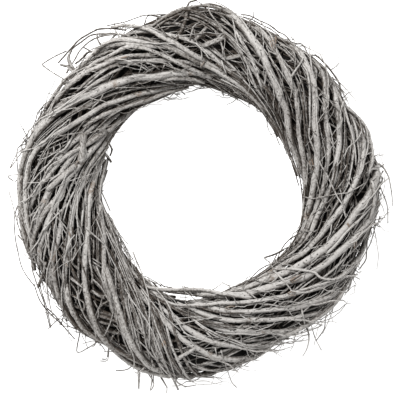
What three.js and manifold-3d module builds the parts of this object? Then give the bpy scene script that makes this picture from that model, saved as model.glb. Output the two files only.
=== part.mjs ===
// A wicker wreath of whitewashed birch brushwood, lying flat on a table.
//
// Millimetres, +Z up, origin on the table under the middle of the ring. Seen from above, angle
// "at" runs anticlockwise round the ring from +X, and angle "round" runs round the roll of wood:
// 0 at its outer edge, 90 on top, 180 at its inner edge, 270 underneath.
//
// From the inside out the roll holds six brushwood bunches set end to end,
// one tie wire round each joint, and thicker branches wound over them in a long lay, each one
// running over the top or along the underside from one edge of the roll to the other.
import * as THREE from "three";
import { mergeVertices } from "three/addons/utils/BufferGeometryUtils.js";
import Module from "manifold-3d";

const wasm = await Module();
wasm.setup();

// Driving dimensions
const INNER_RADIUS = 109; // of the hole, before the swells
const OUTER_RADIUS = 198; // of the roll, before the swells
const ROLL_HEIGHT = 76;
const WINDING_DEPTH = 9; // how deep the layer of wound branches is
const SEAT_GAP = 0.4; // between the wound branches and the brushwood under them
const BUNCH_COUNT = 6;
const BUNCH_RODS = 20; // rods packed side by side round a bunch
const BUNCH_ROD_RELIEF = 3.8; // from the crest of a rod to the valley beside it
const BUNCH_TWIST = 1.5; // degrees round the roll for each degree round the ring
const BUNCH_WAIST = 1; // how much a wire draws a bunch in at its ends
const LOOSE_TWIGS = 5; // on each bunch, crossing its packed rods
const LOOSE_TWIG_DIAMETER = 4.4;
const LOOSE_TWIG_SINK = 2.4; // how deep a loose twig lies in the packed rods
const BUNCH_GAP_ANGLE = 0.3; // between two bunches, in degrees
const WIRE_DIAMETER = 1.4;
const WIRE_GAP = 0.7; // between a wire and the branches wound over it
const UNDERSIDE_BRANCHES = 18;
const FLAT_DEPTH = 0.5; // worn off the lowest branches where they stand
const WAVER = 0.5; // how far a branch strays from its lay, in degrees of the ring
const END_SHARE = 0.6; // of a rod's diameter that is left at its very end
const SIDE_TWIG_DIAMETERS = [2.6, 1.2]; // at the root and at the tip
const REACHING_TWIG_DIAMETERS = [3, 1.2];
const REACHING_TWIG_BOW = 12; // how far outside the roll a reaching twig bows
const FORK_SHARES = [0.68, 0.44]; // of its branch's diameter, at the fork's root and tip
const SEED = 11;
const MERGE_WITHIN = 0.05; // a point closer than this to a straight edge is dropped

// The lay: how many degrees round the ring a branch gains for each degree round the roll
const LAY_AT_OUTER_EDGE = 0.2;
const LAY_AT_INNER_EDGE = 0.8;

// Swells of the roll, where a bunch bulges or thins: the ring angle, the half width in degrees,
// and how far the outer and the inner edge move outwards.
const SWELLS = [
  { at: 92, wide: 13, outer: 8, inner: 7 },
  { at: 264, wide: 15, outer: 11, inner: -3 },
  { at: 30, wide: 13, outer: -8, inner: -5 },
  { at: 300, wide: 15, outer: -8, inner: 0 },
  { at: 337, wide: 14, outer: -3, inner: 6 },
  { at: 204, wide: 17, outer: 1, inner: -8 },
  { at: 137, wide: 18, outer: -5, inner: 4 },
  { at: 226, wide: 12, outer: 7, inner: 0 },
  { at: 162, wide: 13, outer: 3, inner: 0 },
  { at: 61, wide: 10, outer: -4, inner: 0 },
  { at: 2, wide: 9, outer: 3, inner: 0 },
];

// The branches wound over the top: ring angle where each one crosses the top of the roll, its
// lay against the usual one, where it starts and ends round the roll, its diameter at either end,
// and how many degrees a fork spreads from it towards the outer edge.
const TOP_BRANCHES = [
  { at: 13, lay: 1.02, from: -20, to: 150, thick: 6.5, thin: 6, fork: 0 },
  { at: 22, lay: 1, from: -6, to: 178, thick: 5, thin: 5, fork: 0 },
  { at: 32.5, lay: 0.98, from: -22, to: 195, thick: 7.5, thin: 7.5, fork: 0 },
  { at: 49, lay: 0.85, from: -8, to: 196, thick: 5.5, thin: 6.5, fork: -4.5 },
  { at: 60.5, lay: 0.79, from: -22, to: 190, thick: 8.6, thin: 8, fork: 0 },
  { at: 72, lay: 0.85, from: -16, to: 140, thick: 4.5, thin: 4, fork: 3.5 },
  { at: 92, lay: 0.88, from: -20, to: 198, thick: 5, thin: 5, fork: 0 },
  { at: 101, lay: 0.88, from: -28, to: 172, thick: 7, thin: 6.5, fork: 0 },
  { at: 112, lay: 1.05, from: -18, to: 125, thick: 5, thin: 5, fork: 4 },
  { at: 131, lay: 1.2, from: -26, to: 150, thick: 8, thin: 8, fork: 0 },
  { at: 149, lay: 0.9, from: -25, to: 196, thick: 6, thin: 5.5, fork: 0 },
  { at: 164, lay: 0.95, from: 24, to: 122, thick: 5, thin: 5.5, fork: 0 },
  { at: 172.5, lay: 0.95, from: -16, to: 150, thick: 6, thin: 6, fork: 0 },
  { at: 181, lay: 0.88, from: -22, to: 190, thick: 6.8, thin: 7, fork: 0 },
  { at: 189, lay: 1, from: -20, to: 84, thick: 6.5, thin: 7.5, fork: 0 },
  { at: 198, lay: 1, from: -12, to: 175, thick: 6, thin: 6.5, fork: 0 },
  { at: 214, lay: 0.98, from: -22, to: 190, thick: 6, thin: 6.5, fork: 4 },
  { at: 231, lay: 0.88, from: -18, to: 196, thick: 6, thin: 6.5, fork: 0 },
  { at: 243, lay: 0.72, from: -6, to: 150, thick: 4, thin: 3.5, fork: 3 },
  { at: 261, lay: 0.98, from: -20, to: 195, thick: 6.2, thin: 6.5, fork: 0 },
  { at: 270, lay: 1, from: -22, to: 124, thick: 5.5, thin: 6.5, fork: 0 },
  { at: 281, lay: 1.02, from: -10, to: 188, thick: 5, thin: 5, fork: 0 },
  { at: 291, lay: 1.05, from: -20, to: 140, thick: 5, thin: 5, fork: 0 },
  { at: 301, lay: 1.03, from: -14, to: 148, thick: 6, thin: 5.5, fork: 0 },
  { at: 312.5, lay: 1, from: -22, to: 138, thick: 6, thin: 5.5, fork: 0 },
  { at: 328.5, lay: 1.05, from: -16, to: 194, thick: 7.8, thin: 7, fork: 4 },
  { at: 341.5, lay: 1, from: -20, to: 168, thick: 8, thin: 7.8, fork: 0 },
  { at: 355, lay: 0.95, from: -20, to: 186, thick: 6, thin: 6, fork: 4 },
];

// The longest loose twigs: the top branch each one grows from, where it leaves it round the
// roll, and its tip. They set how far the wreath reaches.
const REACHING_TWIGS = [
  { branch: 14, leaves: 8, tip: [-213, 4, 34] },
  { branch: 7, leaves: -6, tip: [-96, 188, 30] },
  { branch: 6, leaves: 10, tip: [10, 211, 44] },
  { branch: 27, leaves: 0, tip: [212, -16, 36] },
  { branch: 22, leaves: 6, tip: [112, -182, 40] },
  { branch: 19, leaves: 12, tip: [-6, -213, 38] },
  { branch: 18, leaves: 20, tip: [-74, -198, 46] },
];

const whitewashedBark = new THREE.MeshStandardMaterial({
  color: 0xb9b5ae,
  roughness: 0.88,
  metalness: 0,
});
const shadedBark = new THREE.MeshStandardMaterial({
  color: 0x8b857d,
  roughness: 0.92,
  metalness: 0,
});
const greyWire = new THREE.MeshStandardMaterial({
  color: 0x6f6c68,
  roughness: 0.55,
  metalness: 0.8,
});

// A repeatable stream of numbers from 0 to 1.
function randomStream(seed) {
  let state = seed;
  return () => {
    state = (state * 1664525 + 1013904223) % 4294967296;
    return state / 4294967296;
  };
}

const random = randomStream(SEED);
const between = (low, high) => low + (high - low) * random();
const radians = THREE.MathUtils.degToRad;

// How far the swells move one edge of the roll at a ring angle.
function swelling(at, edge) {
  return SWELLS.reduce((sum, swell) => {
    const away = THREE.MathUtils.euclideanModulo(at - swell.at + 180, 360) - 180;
    return sum + swell[edge] * Math.exp(-((away / swell.wide) ** 2));
  }, 0);
}

// A point of the roll: ring angle, angle round the roll, and depth under its outside.
function rollPoint(at, round, depth) {
  const outer = OUTER_RADIUS + swelling(at, "outer");
  const inner = INNER_RADIUS + swelling(at, "inner");
  const halfWidth = (outer - inner) / 2;
  const halfHeight = ROLL_HEIGHT / 2;
  const away = (outer + inner) / 2 + (halfWidth - depth) * Math.cos(radians(round));
  return new THREE.Vector3(
    away * Math.cos(radians(at)),
    away * Math.sin(radians(at)),
    halfHeight - FLAT_DEPTH + (halfHeight - depth) * Math.sin(radians(round)),
  );
}

// Degrees round the ring that the usual lay gains from the outer edge on: its slope swings
// between its two edge values as a cosine, so this is the slope's integral.
function layGain(round) {
  const middle = (LAY_AT_OUTER_EDGE + LAY_AT_INNER_EDGE) / 2;
  const swing = (LAY_AT_INNER_EDGE - LAY_AT_OUTER_EDGE) / 2;
  return middle * round - THREE.MathUtils.radToDeg(swing * Math.sin(radians(round)));
}

// A rod is thinner over the last tenth at either end, as a cut or torn end is.
function endShare(t) {
  return Math.min(1, END_SHARE + 4 * Math.min(t, 1 - t));
}

// A branch's centre line in roll coordinates, worked out from where it crosses "crossing".
class WoundLine {
  constructor({ at, lay, from, to, thick, thin, crossing, waver, phase }) {
    Object.assign(this, { at, lay, from, to, thick, thin, crossing, waver, phase });
  }

  round(t) {
    return THREE.MathUtils.lerp(this.from, this.to, t);
  }

  ring(t) {
    const round = this.round(t);
    const gain = this.lay * (layGain(round) - layGain(this.crossing));
    return this.at - gain + this.waver * Math.sin(radians(3 * round + this.phase));
  }

  radius(t) {
    return (THREE.MathUtils.lerp(this.thick, this.thin, t) / 2) * endShare(t);
  }

  depth(t) {
    return WINDING_DEPTH - this.radius(t);
  }

  point(t) {
    return rollPoint(this.ring(t), this.round(t), this.depth(t));
  }
}

// A curve through any function from 0..1 to a point.
class FormulaCurve extends THREE.Curve {
  constructor(pointAt) {
    super();
    this.pointAt = pointAt;
  }

  getPoint(t, target = new THREE.Vector3()) {
    return target.copy(this.pointAt(t));
  }
}

// The way out of the roll at a point: away from the circle along its middle.
function wayOut(point) {
  const middle = new THREE.Vector3(point.x, point.y, 0);
  middle.setLength((INNER_RADIUS + OUTER_RADIUS) / 2).setZ(ROLL_HEIGHT / 2 - FLAT_DEPTH);
  return point.clone().sub(middle).normalize();
}

// Moves every vertex of a closed three.js geometry and merges the doubles.
function reshape(geometry, move) {
  geometry.deleteAttribute("normal");
  geometry.deleteAttribute("uv");
  const position = geometry.getAttribute("position");
  const vertex = new THREE.Vector3();
  for (let i = 0; i < position.count; i++) {
    vertex.fromBufferAttribute(position, i);
    const moved = move(vertex);
    position.setXYZ(i, moved.x, moved.y, moved.z);
  }
  return mergeVertices(geometry, 1e-4);
}

function solidFrom(geometry) {
  const triVerts = new Uint32Array(geometry.index.array);
  const vertProperties = new Float32Array(geometry.getAttribute("position").array);
  const solid = new wasm.Manifold(new wasm.Mesh({ numProp: 3, vertProperties, triVerts }));
  if (solid.volume() > 0) return solid;
  for (let i = 0; i < triVerts.length; i += 3) {
    [triVerts[i + 1], triVerts[i + 2]] = [triVerts[i + 2], triVerts[i + 1]];
  }
  return new wasm.Manifold(new wasm.Mesh({ numProp: 3, vertProperties, triVerts }));
}

function meshFrom(solid, name, material) {
  const { numProp, numVert, triVerts, vertProperties } = solid.simplify(MERGE_WITHIN).getMesh();
  const positions = new Float32Array(numVert * 3);
  for (let i = 0; i < numVert; i++) {
    positions.set(vertProperties.subarray(i * numProp, i * numProp + 3), i * 3);
  }
  const geometry = new THREE.BufferGeometry();
  geometry.setAttribute("position", new THREE.BufferAttribute(positions, 3));
  geometry.setIndex(new THREE.BufferAttribute(new Uint32Array(triVerts), 1));
  geometry.computeVertexNormals();
  const mesh = new THREE.Mesh(geometry, material);
  mesh.name = name;
  return mesh;
}

// A tapered rod: a cylinder bent along a curve, with its radius given along it. One corner of
// each section faces out of the roll.
function rod(pointAt, radiusAt, sides, steps) {
  const curve = new FormulaCurve(pointAt);
  const cylinder = new THREE.CylinderGeometry(1, 1, 1, sides, steps);
  return solidFrom(
    reshape(cylinder, ({ x, y, z }) => {
      const along = 0.5 - y;
      const centre = curve.getPoint(along);
      const tangent = curve.getTangent(along);
      const sideways = tangent.clone().cross(wayOut(centre)).normalize();
      const outwards = sideways.clone().cross(tangent);
      const radius = radiusAt(along);
      return centre.addScaledVector(sideways, x * radius).addScaledVector(outwards, z * radius);
    }),
  );
}

const BRANCH_SIDES = 6;
const FORK_SIDES = 4;
const TWIG_SIDES = 3;
const ROUND_PER_STEP = 16; // degrees round the roll between two sections of a branch
const FORK_STEPS = 6;
const SIDE_TWIG_STEPS = 3;
const REACHING_TWIG_STEPS = 4;
const FORK_ROOT_ROUND = 98; // a fork leaves its branch just past the top of the roll
const TWIG_LEAVES_ROUND = 62; // where the side twig that points outwards leaves its branch

function branchRod(line) {
  const steps = Math.ceil(Math.abs(line.to - line.from) / ROUND_PER_STEP);
  return rod((t) => line.point(t), (t) => line.radius(t), BRANCH_SIDES, steps);
}

// The share of a branch's length at which it lies at an angle round the roll.
function shareAt(line, round) {
  return (round - line.from) / (line.to - line.from);
}

// A radius that goes from half of one diameter to half of the other.
function taper([root, tip]) {
  return (t) => THREE.MathUtils.lerp(root, tip, t) / 2;
}

// A fork runs back beside its branch to the outer edge and spreads from it.
function forkRod(line, spread) {
  const start = Math.min(0.62, shareAt(line, FORK_ROOT_ROUND));
  const end = 0.04;
  const radiusAt = taper(FORK_SHARES.map((share) => share * line.thick));
  const pointAt = (t) => {
    const along = THREE.MathUtils.lerp(start, end, t);
    const apart = spread * (1 - Math.cos((Math.PI * t) / 2)) ** 0.7;
    return rollPoint(line.ring(along) + apart, line.round(along), WINDING_DEPTH - radiusAt(t));
  };
  return rod(pointAt, radiusAt, FORK_SIDES, FORK_STEPS);
}

// A side twig rises along the top of its branch until it is clear of the roll, then leans off.
function sideTwigRod(line, { leaves, length, rise, lean }) {
  const start = THREE.MathUtils.clamp(shareAt(line, leaves), 0.08, 0.92);
  const run = length / (line.to - line.from);
  const pointAt = (t) => {
    const along = THREE.MathUtils.clamp(start + run * t, 0, 1);
    const free = Math.max(0, t - 0.4) / 0.6;
    const depth = THREE.MathUtils.lerp(line.depth(start), -rise, t ** 0.7);
    return rollPoint(line.ring(along) + lean * free ** 1.5, line.round(along), depth);
  };
  return rod(pointAt, taper(SIDE_TWIG_DIAMETERS), TWIG_SIDES, SIDE_TWIG_STEPS);
}

// A long loose twig bows outwards from its branch to its tip.
function reachingTwigRod(line, { leaves, tip }) {
  const start = shareAt(line, leaves);
  const outside = rollPoint(line.ring(start), leaves, -REACHING_TWIG_BOW);
  const bow = new THREE.QuadraticBezierCurve3(
    line.point(start),
    outside,
    new THREE.Vector3(...tip),
  );
  const radiusAt = taper(REACHING_TWIG_DIAMETERS);
  return rod((t) => bow.getPoint(t), radiusAt, TWIG_SIDES, REACHING_TWIG_STEPS);
}

function topBranch(row, index) {
  const line = new WoundLine({ ...row, crossing: 90, waver: WAVER, phase: between(0, 360) });
  const forwards = { leaves: between(30, 80), length: between(26, 36) };
  const outwards = { leaves: TWIG_LEAVES_ROUND, length: -between(38, 56) };
  let solid = branchRod(line);
  if (row.fork) solid = solid.add(forkRod(line, row.fork));
  for (const twig of [forwards, outwards]) {
    const lean = between(2, 5) * (random() < 0.5 ? -1 : 1);
    solid = solid.add(sideTwigRod(line, { ...twig, rise: between(4, 8), lean }));
  }
  for (const twig of REACHING_TWIGS.filter(({ branch }) => branch === index + 1)) {
    solid = solid.add(reachingTwigRod(line, twig));
  }
  const number = String(index + 1).padStart(2, "0");
  return meshFrom(solid, `top_branch_${number}`, whitewashedBark);
}

// Branches along the underside, spaced evenly with a small seeded shift. Every third one is
// thick enough to stand on the table, and has a flat worn on it there.
function undersideBranch(index) {
  const stands = index % 3 === 0;
  const thickness = stands ? WINDING_DEPTH : between(5.5, 7.6);
  const line = new WoundLine({
    at: (index * 360) / UNDERSIDE_BRANCHES + between(-2, 2),
    lay: between(0.92, 1.04),
    from: between(206, 214),
    to: between(325, 333),
    thick: thickness,
    thin: stands ? thickness : thickness - 0.8,
    crossing: 270,
    waver: WAVER,
    phase: between(0, 360),
  });
  const twig = {
    leaves: between(286, 300),
    length: between(20, 26),
    rise: between(3, 5),
    lean: between(2, 4),
  };
  const solid = branchRod(line).add(sideTwigRod(line, twig)).trimByPlane([0, 0, 1], 0);
  const number = String(index + 1).padStart(2, "0");
  return meshFrom(solid, `underside_branch_${number}`, whitewashedBark);
}

const LOOSE_TWIG_DEPTH = WINDING_DEPTH + SEAT_GAP + LOOSE_TWIG_DIAMETER / 2;
const BUNCH_DEPTH = LOOSE_TWIG_DEPTH + LOOSE_TWIG_DIAMETER / 2 - LOOSE_TWIG_SINK;
const BUNCH_STEPS = 6;
const LOOSE_TWIG_SIDES = 4;
const LOOSE_TWIG_STEPS = 4;
const CLEAR_OF_WIRE = 2.4; // degrees from a bunch's end to its loose twigs

// The packed rods of a bunch, side by side and twisted the other way from the branches that are
// wound over them. Its sections are closer together near its ends, where a wire draws them in.
function packedRods(start, length) {
  const sides = 2 * BUNCH_RODS;
  const slimmer = Array.from({ length: BUNCH_RODS }, () => between(0, 1));
  const cylinder = new THREE.CylinderGeometry(1, 1, 1, sides, BUNCH_STEPS);
  return solidFrom(
    reshape(cylinder, ({ x, y, z }) => {
      const along = THREE.MathUtils.smoothstep(y + 0.5, 0, 1);
      const turned = THREE.MathUtils.radToDeg(Math.atan2(x, z));
      const point = THREE.MathUtils.euclideanModulo(Math.round((turned * sides) / 360), sides);
      const relief = point % 2 === 0 ? slimmer[point / 2] : BUNCH_ROD_RELIEF;
      const waist = BUNCH_WAIST * (1 - Math.min(1, 20 * along * (1 - along)));
      const at = start + along * length;
      const round = turned + BUNCH_TWIST * along * length;
      const middle = rollPoint(at, 0, 0).add(rollPoint(at, 180, 0)).multiplyScalar(0.5);
      return middle.lerp(rollPoint(at, round, BUNCH_DEPTH + relief + waist), Math.hypot(x, z));
    }),
  );
}

// A loose twig of a bunch runs from near one end to near the other, at a twist of its own.
function looseTwigRod(start, length, number) {
  const from = start + CLEAR_OF_WIRE + between(0, 8);
  const to = start + length - CLEAR_OF_WIRE - between(0, 8);
  const round = ((number + between(-0.3, 0.3)) * 360) / LOOSE_TWIGS;
  const twist = between(0.5, 2.6);
  const pointAt = (t) => {
    const at = THREE.MathUtils.lerp(from, to, t);
    return rollPoint(at, round + twist * (at - from), LOOSE_TWIG_DEPTH);
  };
  const radiusAt = (t) => (LOOSE_TWIG_DIAMETER / 2) * endShare(t);
  return rod(pointAt, radiusAt, LOOSE_TWIG_SIDES, LOOSE_TWIG_STEPS);
}

function brushwoodBunch(index) {
  const span = 360 / BUNCH_COUNT;
  const start = index * span + BUNCH_GAP_ANGLE / 2;
  const length = span - BUNCH_GAP_ANGLE;
  let solid = packedRods(start, length);
  for (let i = 0; i < LOOSE_TWIGS; i++) solid = solid.add(looseTwigRod(start, length, i));
  return meshFrom(solid, `brushwood_bunch_${index + 1}`, shadedBark);
}

// A tie wire: a torus wrapped round the roll at the joint of two bunches.
function tieWire(index) {
  const at = (index * 360) / BUNCH_COUNT;
  const torus = new THREE.TorusGeometry(10, WIRE_DIAMETER / 2, 4, 20);
  const centreDepth = WINDING_DEPTH + WIRE_GAP + WIRE_DIAMETER / 2;
  const along = new THREE.Vector3(-Math.sin(radians(at)), Math.cos(radians(at)), 0);
  const solid = solidFrom(
    reshape(torus, ({ x, y, z }) => {
      const round = THREE.MathUtils.radToDeg(Math.atan2(y, x));
      const outwards = Math.hypot(x, y) - 10;
      return rollPoint(at, round, centreDepth - outwards).addScaledVector(along, z);
    }),
  );
  return meshFrom(solid, `tie_wire_${index + 1}`, greyWire);
}

const wreath = new THREE.Group();
TOP_BRANCHES.forEach((row, index) => wreath.add(topBranch(row, index)));
for (let i = 0; i < UNDERSIDE_BRANCHES; i++) wreath.add(undersideBranch(i));
for (let i = 0; i < BUNCH_COUNT; i++) wreath.add(brushwoodBunch(i));
for (let i = 0; i < BUNCH_COUNT; i++) wreath.add(tieWire(i));

export default wreath;
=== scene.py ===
"""The looks of a wicker wreath of whitewashed birch brushwood that lies flat on a table.

Lengths are millimetres and angles are degrees until a mesh is written, in metres. A place on the
wreath is given by three numbers: "at" is the angle round the ring from +X, "around" is the angle
round its roll of wood, 0 at the outer edge, 90 on top, 180 at the inner edge and 270 underneath,
and "depth" is how far a point lies under the outside of the roll.
"""

import logging
from collections import defaultdict
from collections.abc import Iterable, Iterator
from dataclasses import dataclass, field
from enum import Enum
from functools import partial, reduce
from typing import NamedTuple

import bpy
import numpy as np
from numpy.typing import NDArray
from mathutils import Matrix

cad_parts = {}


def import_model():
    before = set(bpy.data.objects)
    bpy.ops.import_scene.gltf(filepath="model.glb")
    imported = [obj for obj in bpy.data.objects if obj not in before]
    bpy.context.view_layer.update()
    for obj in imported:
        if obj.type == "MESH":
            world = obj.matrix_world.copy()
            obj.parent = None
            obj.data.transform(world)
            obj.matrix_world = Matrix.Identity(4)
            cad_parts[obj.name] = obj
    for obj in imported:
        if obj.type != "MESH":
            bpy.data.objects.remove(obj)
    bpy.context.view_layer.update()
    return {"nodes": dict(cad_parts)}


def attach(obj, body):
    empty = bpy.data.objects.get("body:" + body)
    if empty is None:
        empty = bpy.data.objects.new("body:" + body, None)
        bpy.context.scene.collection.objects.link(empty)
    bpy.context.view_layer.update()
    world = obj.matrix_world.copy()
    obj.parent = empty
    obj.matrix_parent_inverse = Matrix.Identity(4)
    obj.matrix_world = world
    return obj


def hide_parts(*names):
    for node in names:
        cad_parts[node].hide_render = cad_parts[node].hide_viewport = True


Array = NDArray[np.float64]
Indices = NDArray[np.int64]
Flags = NDArray[np.bool_]
Generator = np.random.Generator
Material = bpy.types.Material
Node = bpy.types.Node
Object = bpy.types.Object
Socket = bpy.types.NodeSocket
Value = Array | float
Span = tuple[float, float]
Place = tuple[float, float]
Point = tuple[float, float, float]
Colour = tuple[float, float, float, float]

LOG = logging.getLogger("wreath")
METRES = 0.001
TINY = 1e-9
ROOT = "root"


def unit(vectors: Array) -> Array:
    """Scales each vector of an array to length 1."""
    return vectors / np.maximum(np.linalg.norm(vectors, axis=-1, keepdims=True), TINY)


def lerp(low: Value, high: Value, share: Value) -> Array:
    """The value that lies a share of the way from low to high."""
    return low + (high - low) * share


def share_of(value: Array, span: Span) -> Array:
    """How far a value lies through a span: 0 at its start and 1 at its end."""
    return (value - span[0]) / (span[1] - span[0])


def within(value: Array, span: Span) -> Flags:
    """Which values lie inside a span."""
    return (value > span[0]) & (value < span[1])


def smooth_step(value: Array) -> Array:
    """Rises smoothly from 0 to 1 as the value does: three times its square less twice its cube."""
    value = np.clip(value, 0, 1)
    return value * value * (3 - 2 * value)


def bell(away: Array, wide: Value) -> Array:
    """A bell curve: 1 at no distance, and 1/e at the width."""
    return np.exp(-((away / wide) ** 2))


@dataclass
class SeededStream:
    """The part's own repeatable stream of numbers: each state is the last one times a fixed
    number plus another, and what is left of it after a division by 2 to the power of 32."""

    state: int

    def draw(self) -> float:
        """The next number, from 0 to 1."""
        self.state = (self.state * 1664525 + 1013904223) % 4294967296
        return self.state / 4294967296

    def between(self, low: float, high: float) -> float:
        """The next number, from low to high."""
        return low + (high - low) * self.draw()


class Swell(NamedTuple):
    """A place where the roll bulges or thins: the ring angle of its middle, its reach either way,
    and how far the outer and the inner edge move outwards."""

    at: float
    wide: float
    outer: float
    inner: float


SWELLS = (
    Swell(92, 13, 8, 7),
    Swell(264, 15, 11, -3),
    Swell(30, 13, -8, -5),
    Swell(300, 15, -8, 0),
    Swell(337, 14, -3, 6),
    Swell(204, 17, 1, -8),
    Swell(137, 18, -5, 4),
    Swell(226, 12, 7, 0),
    Swell(162, 13, 3, 0),
    Swell(61, 10, -4, 0),
    Swell(2, 9, 3, 0),
)


@dataclass(frozen=True)
class Roll:
    """The wreath's roll of wood, as the part's solids have it.

    Attributes:
        inner_radius: of the hole, before the swells.
        outer_radius: of the roll, before the swells.
        height: of the roll.
        flat_depth: how much is worn off the lowest branches.
        lay_outer: degrees of the ring to a degree round the roll, at the outer edge.
        lay_inner: the same at the inner edge.
    """

    inner_radius: float = 109.0
    outer_radius: float = 198.0
    height: float = 76.0
    flat_depth: float = 0.5
    lay_outer: float = 0.2
    lay_inner: float = 0.8

    @property
    def middle_radius(self) -> float:
        """The radius of the circle along the middle of the roll."""
        return (self.inner_radius + self.outer_radius) / 2

    @property
    def middle_height(self) -> float:
        """How high that circle lies."""
        return self.height / 2 - self.flat_depth

    def edges(self, at: Array) -> tuple[Array, Array]:
        """The inner and outer radius: each swell adds its height times a bell curve.

        Args:
            at: angles round the ring.

        Returns:
            The two radii at each angle.
        """
        swells = np.array(SWELLS)
        share = bell((np.asarray(at)[..., None] - swells[:, 0] + 180) % 360 - 180, swells[:, 1])
        return self.inner_radius + share @ swells[:, 3], self.outer_radius + share @ swells[:, 2]

    def point(self, at: Array, around: Array, depth: Array) -> Array:
        """Points of the roll: on an ellipse across the ring, shrunk by the depth.

        Args:
            at: angles round the ring.
            around: angles round the roll.
            depth: under the outside of the roll.

        Returns:
            The points.
        """
        at, around, depth = np.broadcast_arrays(at, around, depth)
        inner, outer = self.edges(at)
        turned, ring = np.radians(around), np.radians(at)
        away = (outer + inner) / 2 + ((outer - inner) / 2 - depth) * np.cos(turned)
        height = self.middle_height + (self.height / 2 - depth) * np.sin(turned)
        return np.stack([away * np.cos(ring), away * np.sin(ring), height], axis=-1)

    def seat(self, x: Array, y: Array) -> tuple[Array, Array, Array, Array]:
        """How far out and at which ring angle points lie, and the roll's two edges there."""
        at = np.degrees(np.arctan2(y, x))
        return np.hypot(x, y), at, *self.edges(at)

    def way_out(self, points: Array) -> Array:
        """Unit vectors away from the circle along the middle of the roll."""
        centre = (0.0, 0.0, self.middle_height)
        return unit(points - (unit(points * (1.0, 1.0, 0.0)) * self.middle_radius + centre))

    def lay_gain(self, around: Value) -> Array:
        """Degrees of the ring gained from the outer edge on, as the lay swings as a cosine."""
        middle, swing = (self.lay_outer + self.lay_inner) / 2, (self.lay_inner - self.lay_outer) / 2
        return middle * around - np.degrees(swing * np.sin(np.radians(around)))

    def share_out(self, points: Array) -> Array:
        """How far out points lie in the roll.

        Args:
            points: near the roll.

        Returns:
            From 0 at its middle to 1 on its outside.
        """
        out, _, inner, outer = self.seat(points[..., 0], points[..., 1])
        across = (out - (outer + inner) / 2) / ((outer - inner) / 2)
        return np.hypot(across, (points[..., 2] - self.middle_height) / (self.height / 2))

    def over(self, x: Array, y: Array, lift: Value) -> Array:
        """Points on the top half of the roll's ellipse, and at its middle height beside it.

        Args:
            x: of the points.
            y: of the points.
            lift: how much higher than that they are.

        Returns:
            The points.
        """
        out, _, inner, outer = self.seat(x, y)
        across = (out - (outer + inner) / 2) / ((outer - inner) / 2)
        crown = np.sqrt(np.maximum(0.0, 1 - across**2)) * self.height / 2
        return np.stack([x, y, self.middle_height + crown + lift], axis=-1)


ROLL = Roll()


class ToneSwing(NamedTuple):
    """A stretch of the ring painted lighter, in part as painted light and shade for how light falls
    round the ring: the ring angle of its middle, its reach either way, and how much lighter it is
    at the inner and the outer edge."""

    at: float
    wide: float
    inner: float
    outer: float


TONE_SWINGS = (
    ToneSwing(0, 20, -0.9, 1.4),
    ToneSwing(44, 20, -1.0, 0.3),
    ToneSwing(95, 12, 0.1, -0.8),
    ToneSwing(135, 16, -0.5, 0.1),
    ToneSwing(180, 20, 0.7, 0.3),
    ToneSwing(227, 17, -0.2, -1.0),
    ToneSwing(272, 20, 0.7, 1.3),
    ToneSwing(316, 20, -0.3, 2.6),
)


def tone_swing(points: Array) -> Array:
    """How much lighter the bark is painted: a bell curve along the ring for each stretch, added up.

    A curve's height runs from its value at the inner edge to that at the outer one.

    Args:
        points: near the roll.

    Returns:
        What to add to their shade.
    """
    swings = np.array(TONE_SWINGS)
    out, at, inner, outer = ROLL.seat(points[..., 0], points[..., 1])
    across = (out - inner) / (outer - inner)
    height = lerp(swings[:, 2], swings[:, 3], np.clip(across, 0, 1)[..., None])
    away = (at[..., None] - swings[:, 0] + 180) % 360 - 180
    return (bell(away, swings[:, 1]) * height).sum(axis=-1)


@dataclass(frozen=True)
class Hollow:
    """The place at the inner edge where the wood lies deeper, behind a loose stick: the angles of
    its middle, its reach along the ring and round the roll, and its depth."""

    at: float = 259.0
    around: float = 180.0
    long: float = 15.0
    wide: float = 46.0
    deep: float = 14.0

    def depth(self, at: Array, around: Array) -> Array:
        """How much deeper the wood lies: a bell curve in each of the two angles, multiplied."""
        along, across = (at % 360 - self.at) / self.long, (around % 360 - self.around) / self.wide
        return self.deep * np.exp(-(along**2) - across**2)


HOLLOW = Hollow()


def lengthwise(centres: Array) -> Array:
    """Distance of each centre point from the rod's root."""
    pieces = np.linalg.norm(np.diff(centres, axis=1), axis=-1)
    return np.pad(np.cumsum(pieces, axis=1), ((0, 0), (1, 0)))


@dataclass
class Rods:
    """A batch of tapered rods, one row each.

    Attributes:
        centres: of the sections, rods by steps by 3.
        radii: rods by steps.
        sides: of a section.
        shade: how light each rod is.
        worn: how far the wash is worn off, rods by steps, from 0 to 1.
        facing: the direction that a section's seam turns away from, as centres or one a rod.
        relief: share of the radius that is added, rods by steps by sides.
    """

    centres: Array
    radii: Array
    sides: int
    shade: Array
    worn: Array | None = None
    facing: Array | None = None
    relief: Array | None = None


@dataclass(frozen=True)
class SprayAndShade:
    """The whitewash, put on from outside the roll, and painted shade on flanks and deep bark.

    Attributes:
        facing: cosine of the angle to the way out of the roll, where it starts and is full.
        far_out: how far out in the roll it starts and is full.
        free: how far out a twig starts to stand free of the roll and does so quite.
        all_round: how much of it a free twig has even on its far side.
    """

    facing: Span = (-0.15, 0.7)
    far_out: Span = (0.5, 0.88)
    free: Span = (1.02, 1.14)
    all_round: float = 0.75

    def left(self, points: Array, normals: Array) -> Array:
        """How much wash is left, with painted shade: darker on flanks and deep in the roll.

        Args:
            points: places on the bark.
            normals: of the bark there.

        Returns:
            A smooth step in how far the bark looks out of the roll times one in how far out it is.
        """
        facing = share_of((normals * ROLL.way_out(points)).sum(axis=-1), self.facing)
        far_out = ROLL.share_out(points)
        free = self.all_round * smooth_step(share_of(far_out, self.free))
        return smooth_step(facing + free) * smooth_step(share_of(far_out, self.far_out))


SPRAY_AND_SHADE = SprayAndShade()

# Lightness runs from the darkest to the lightest shade. A rod's shade also picks the stretch of
# bark that it wears, so that no two look alike.
DARKEST = -1.6
LIGHTEST = 1.15
BARK_STRETCH = 1000.0


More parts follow.
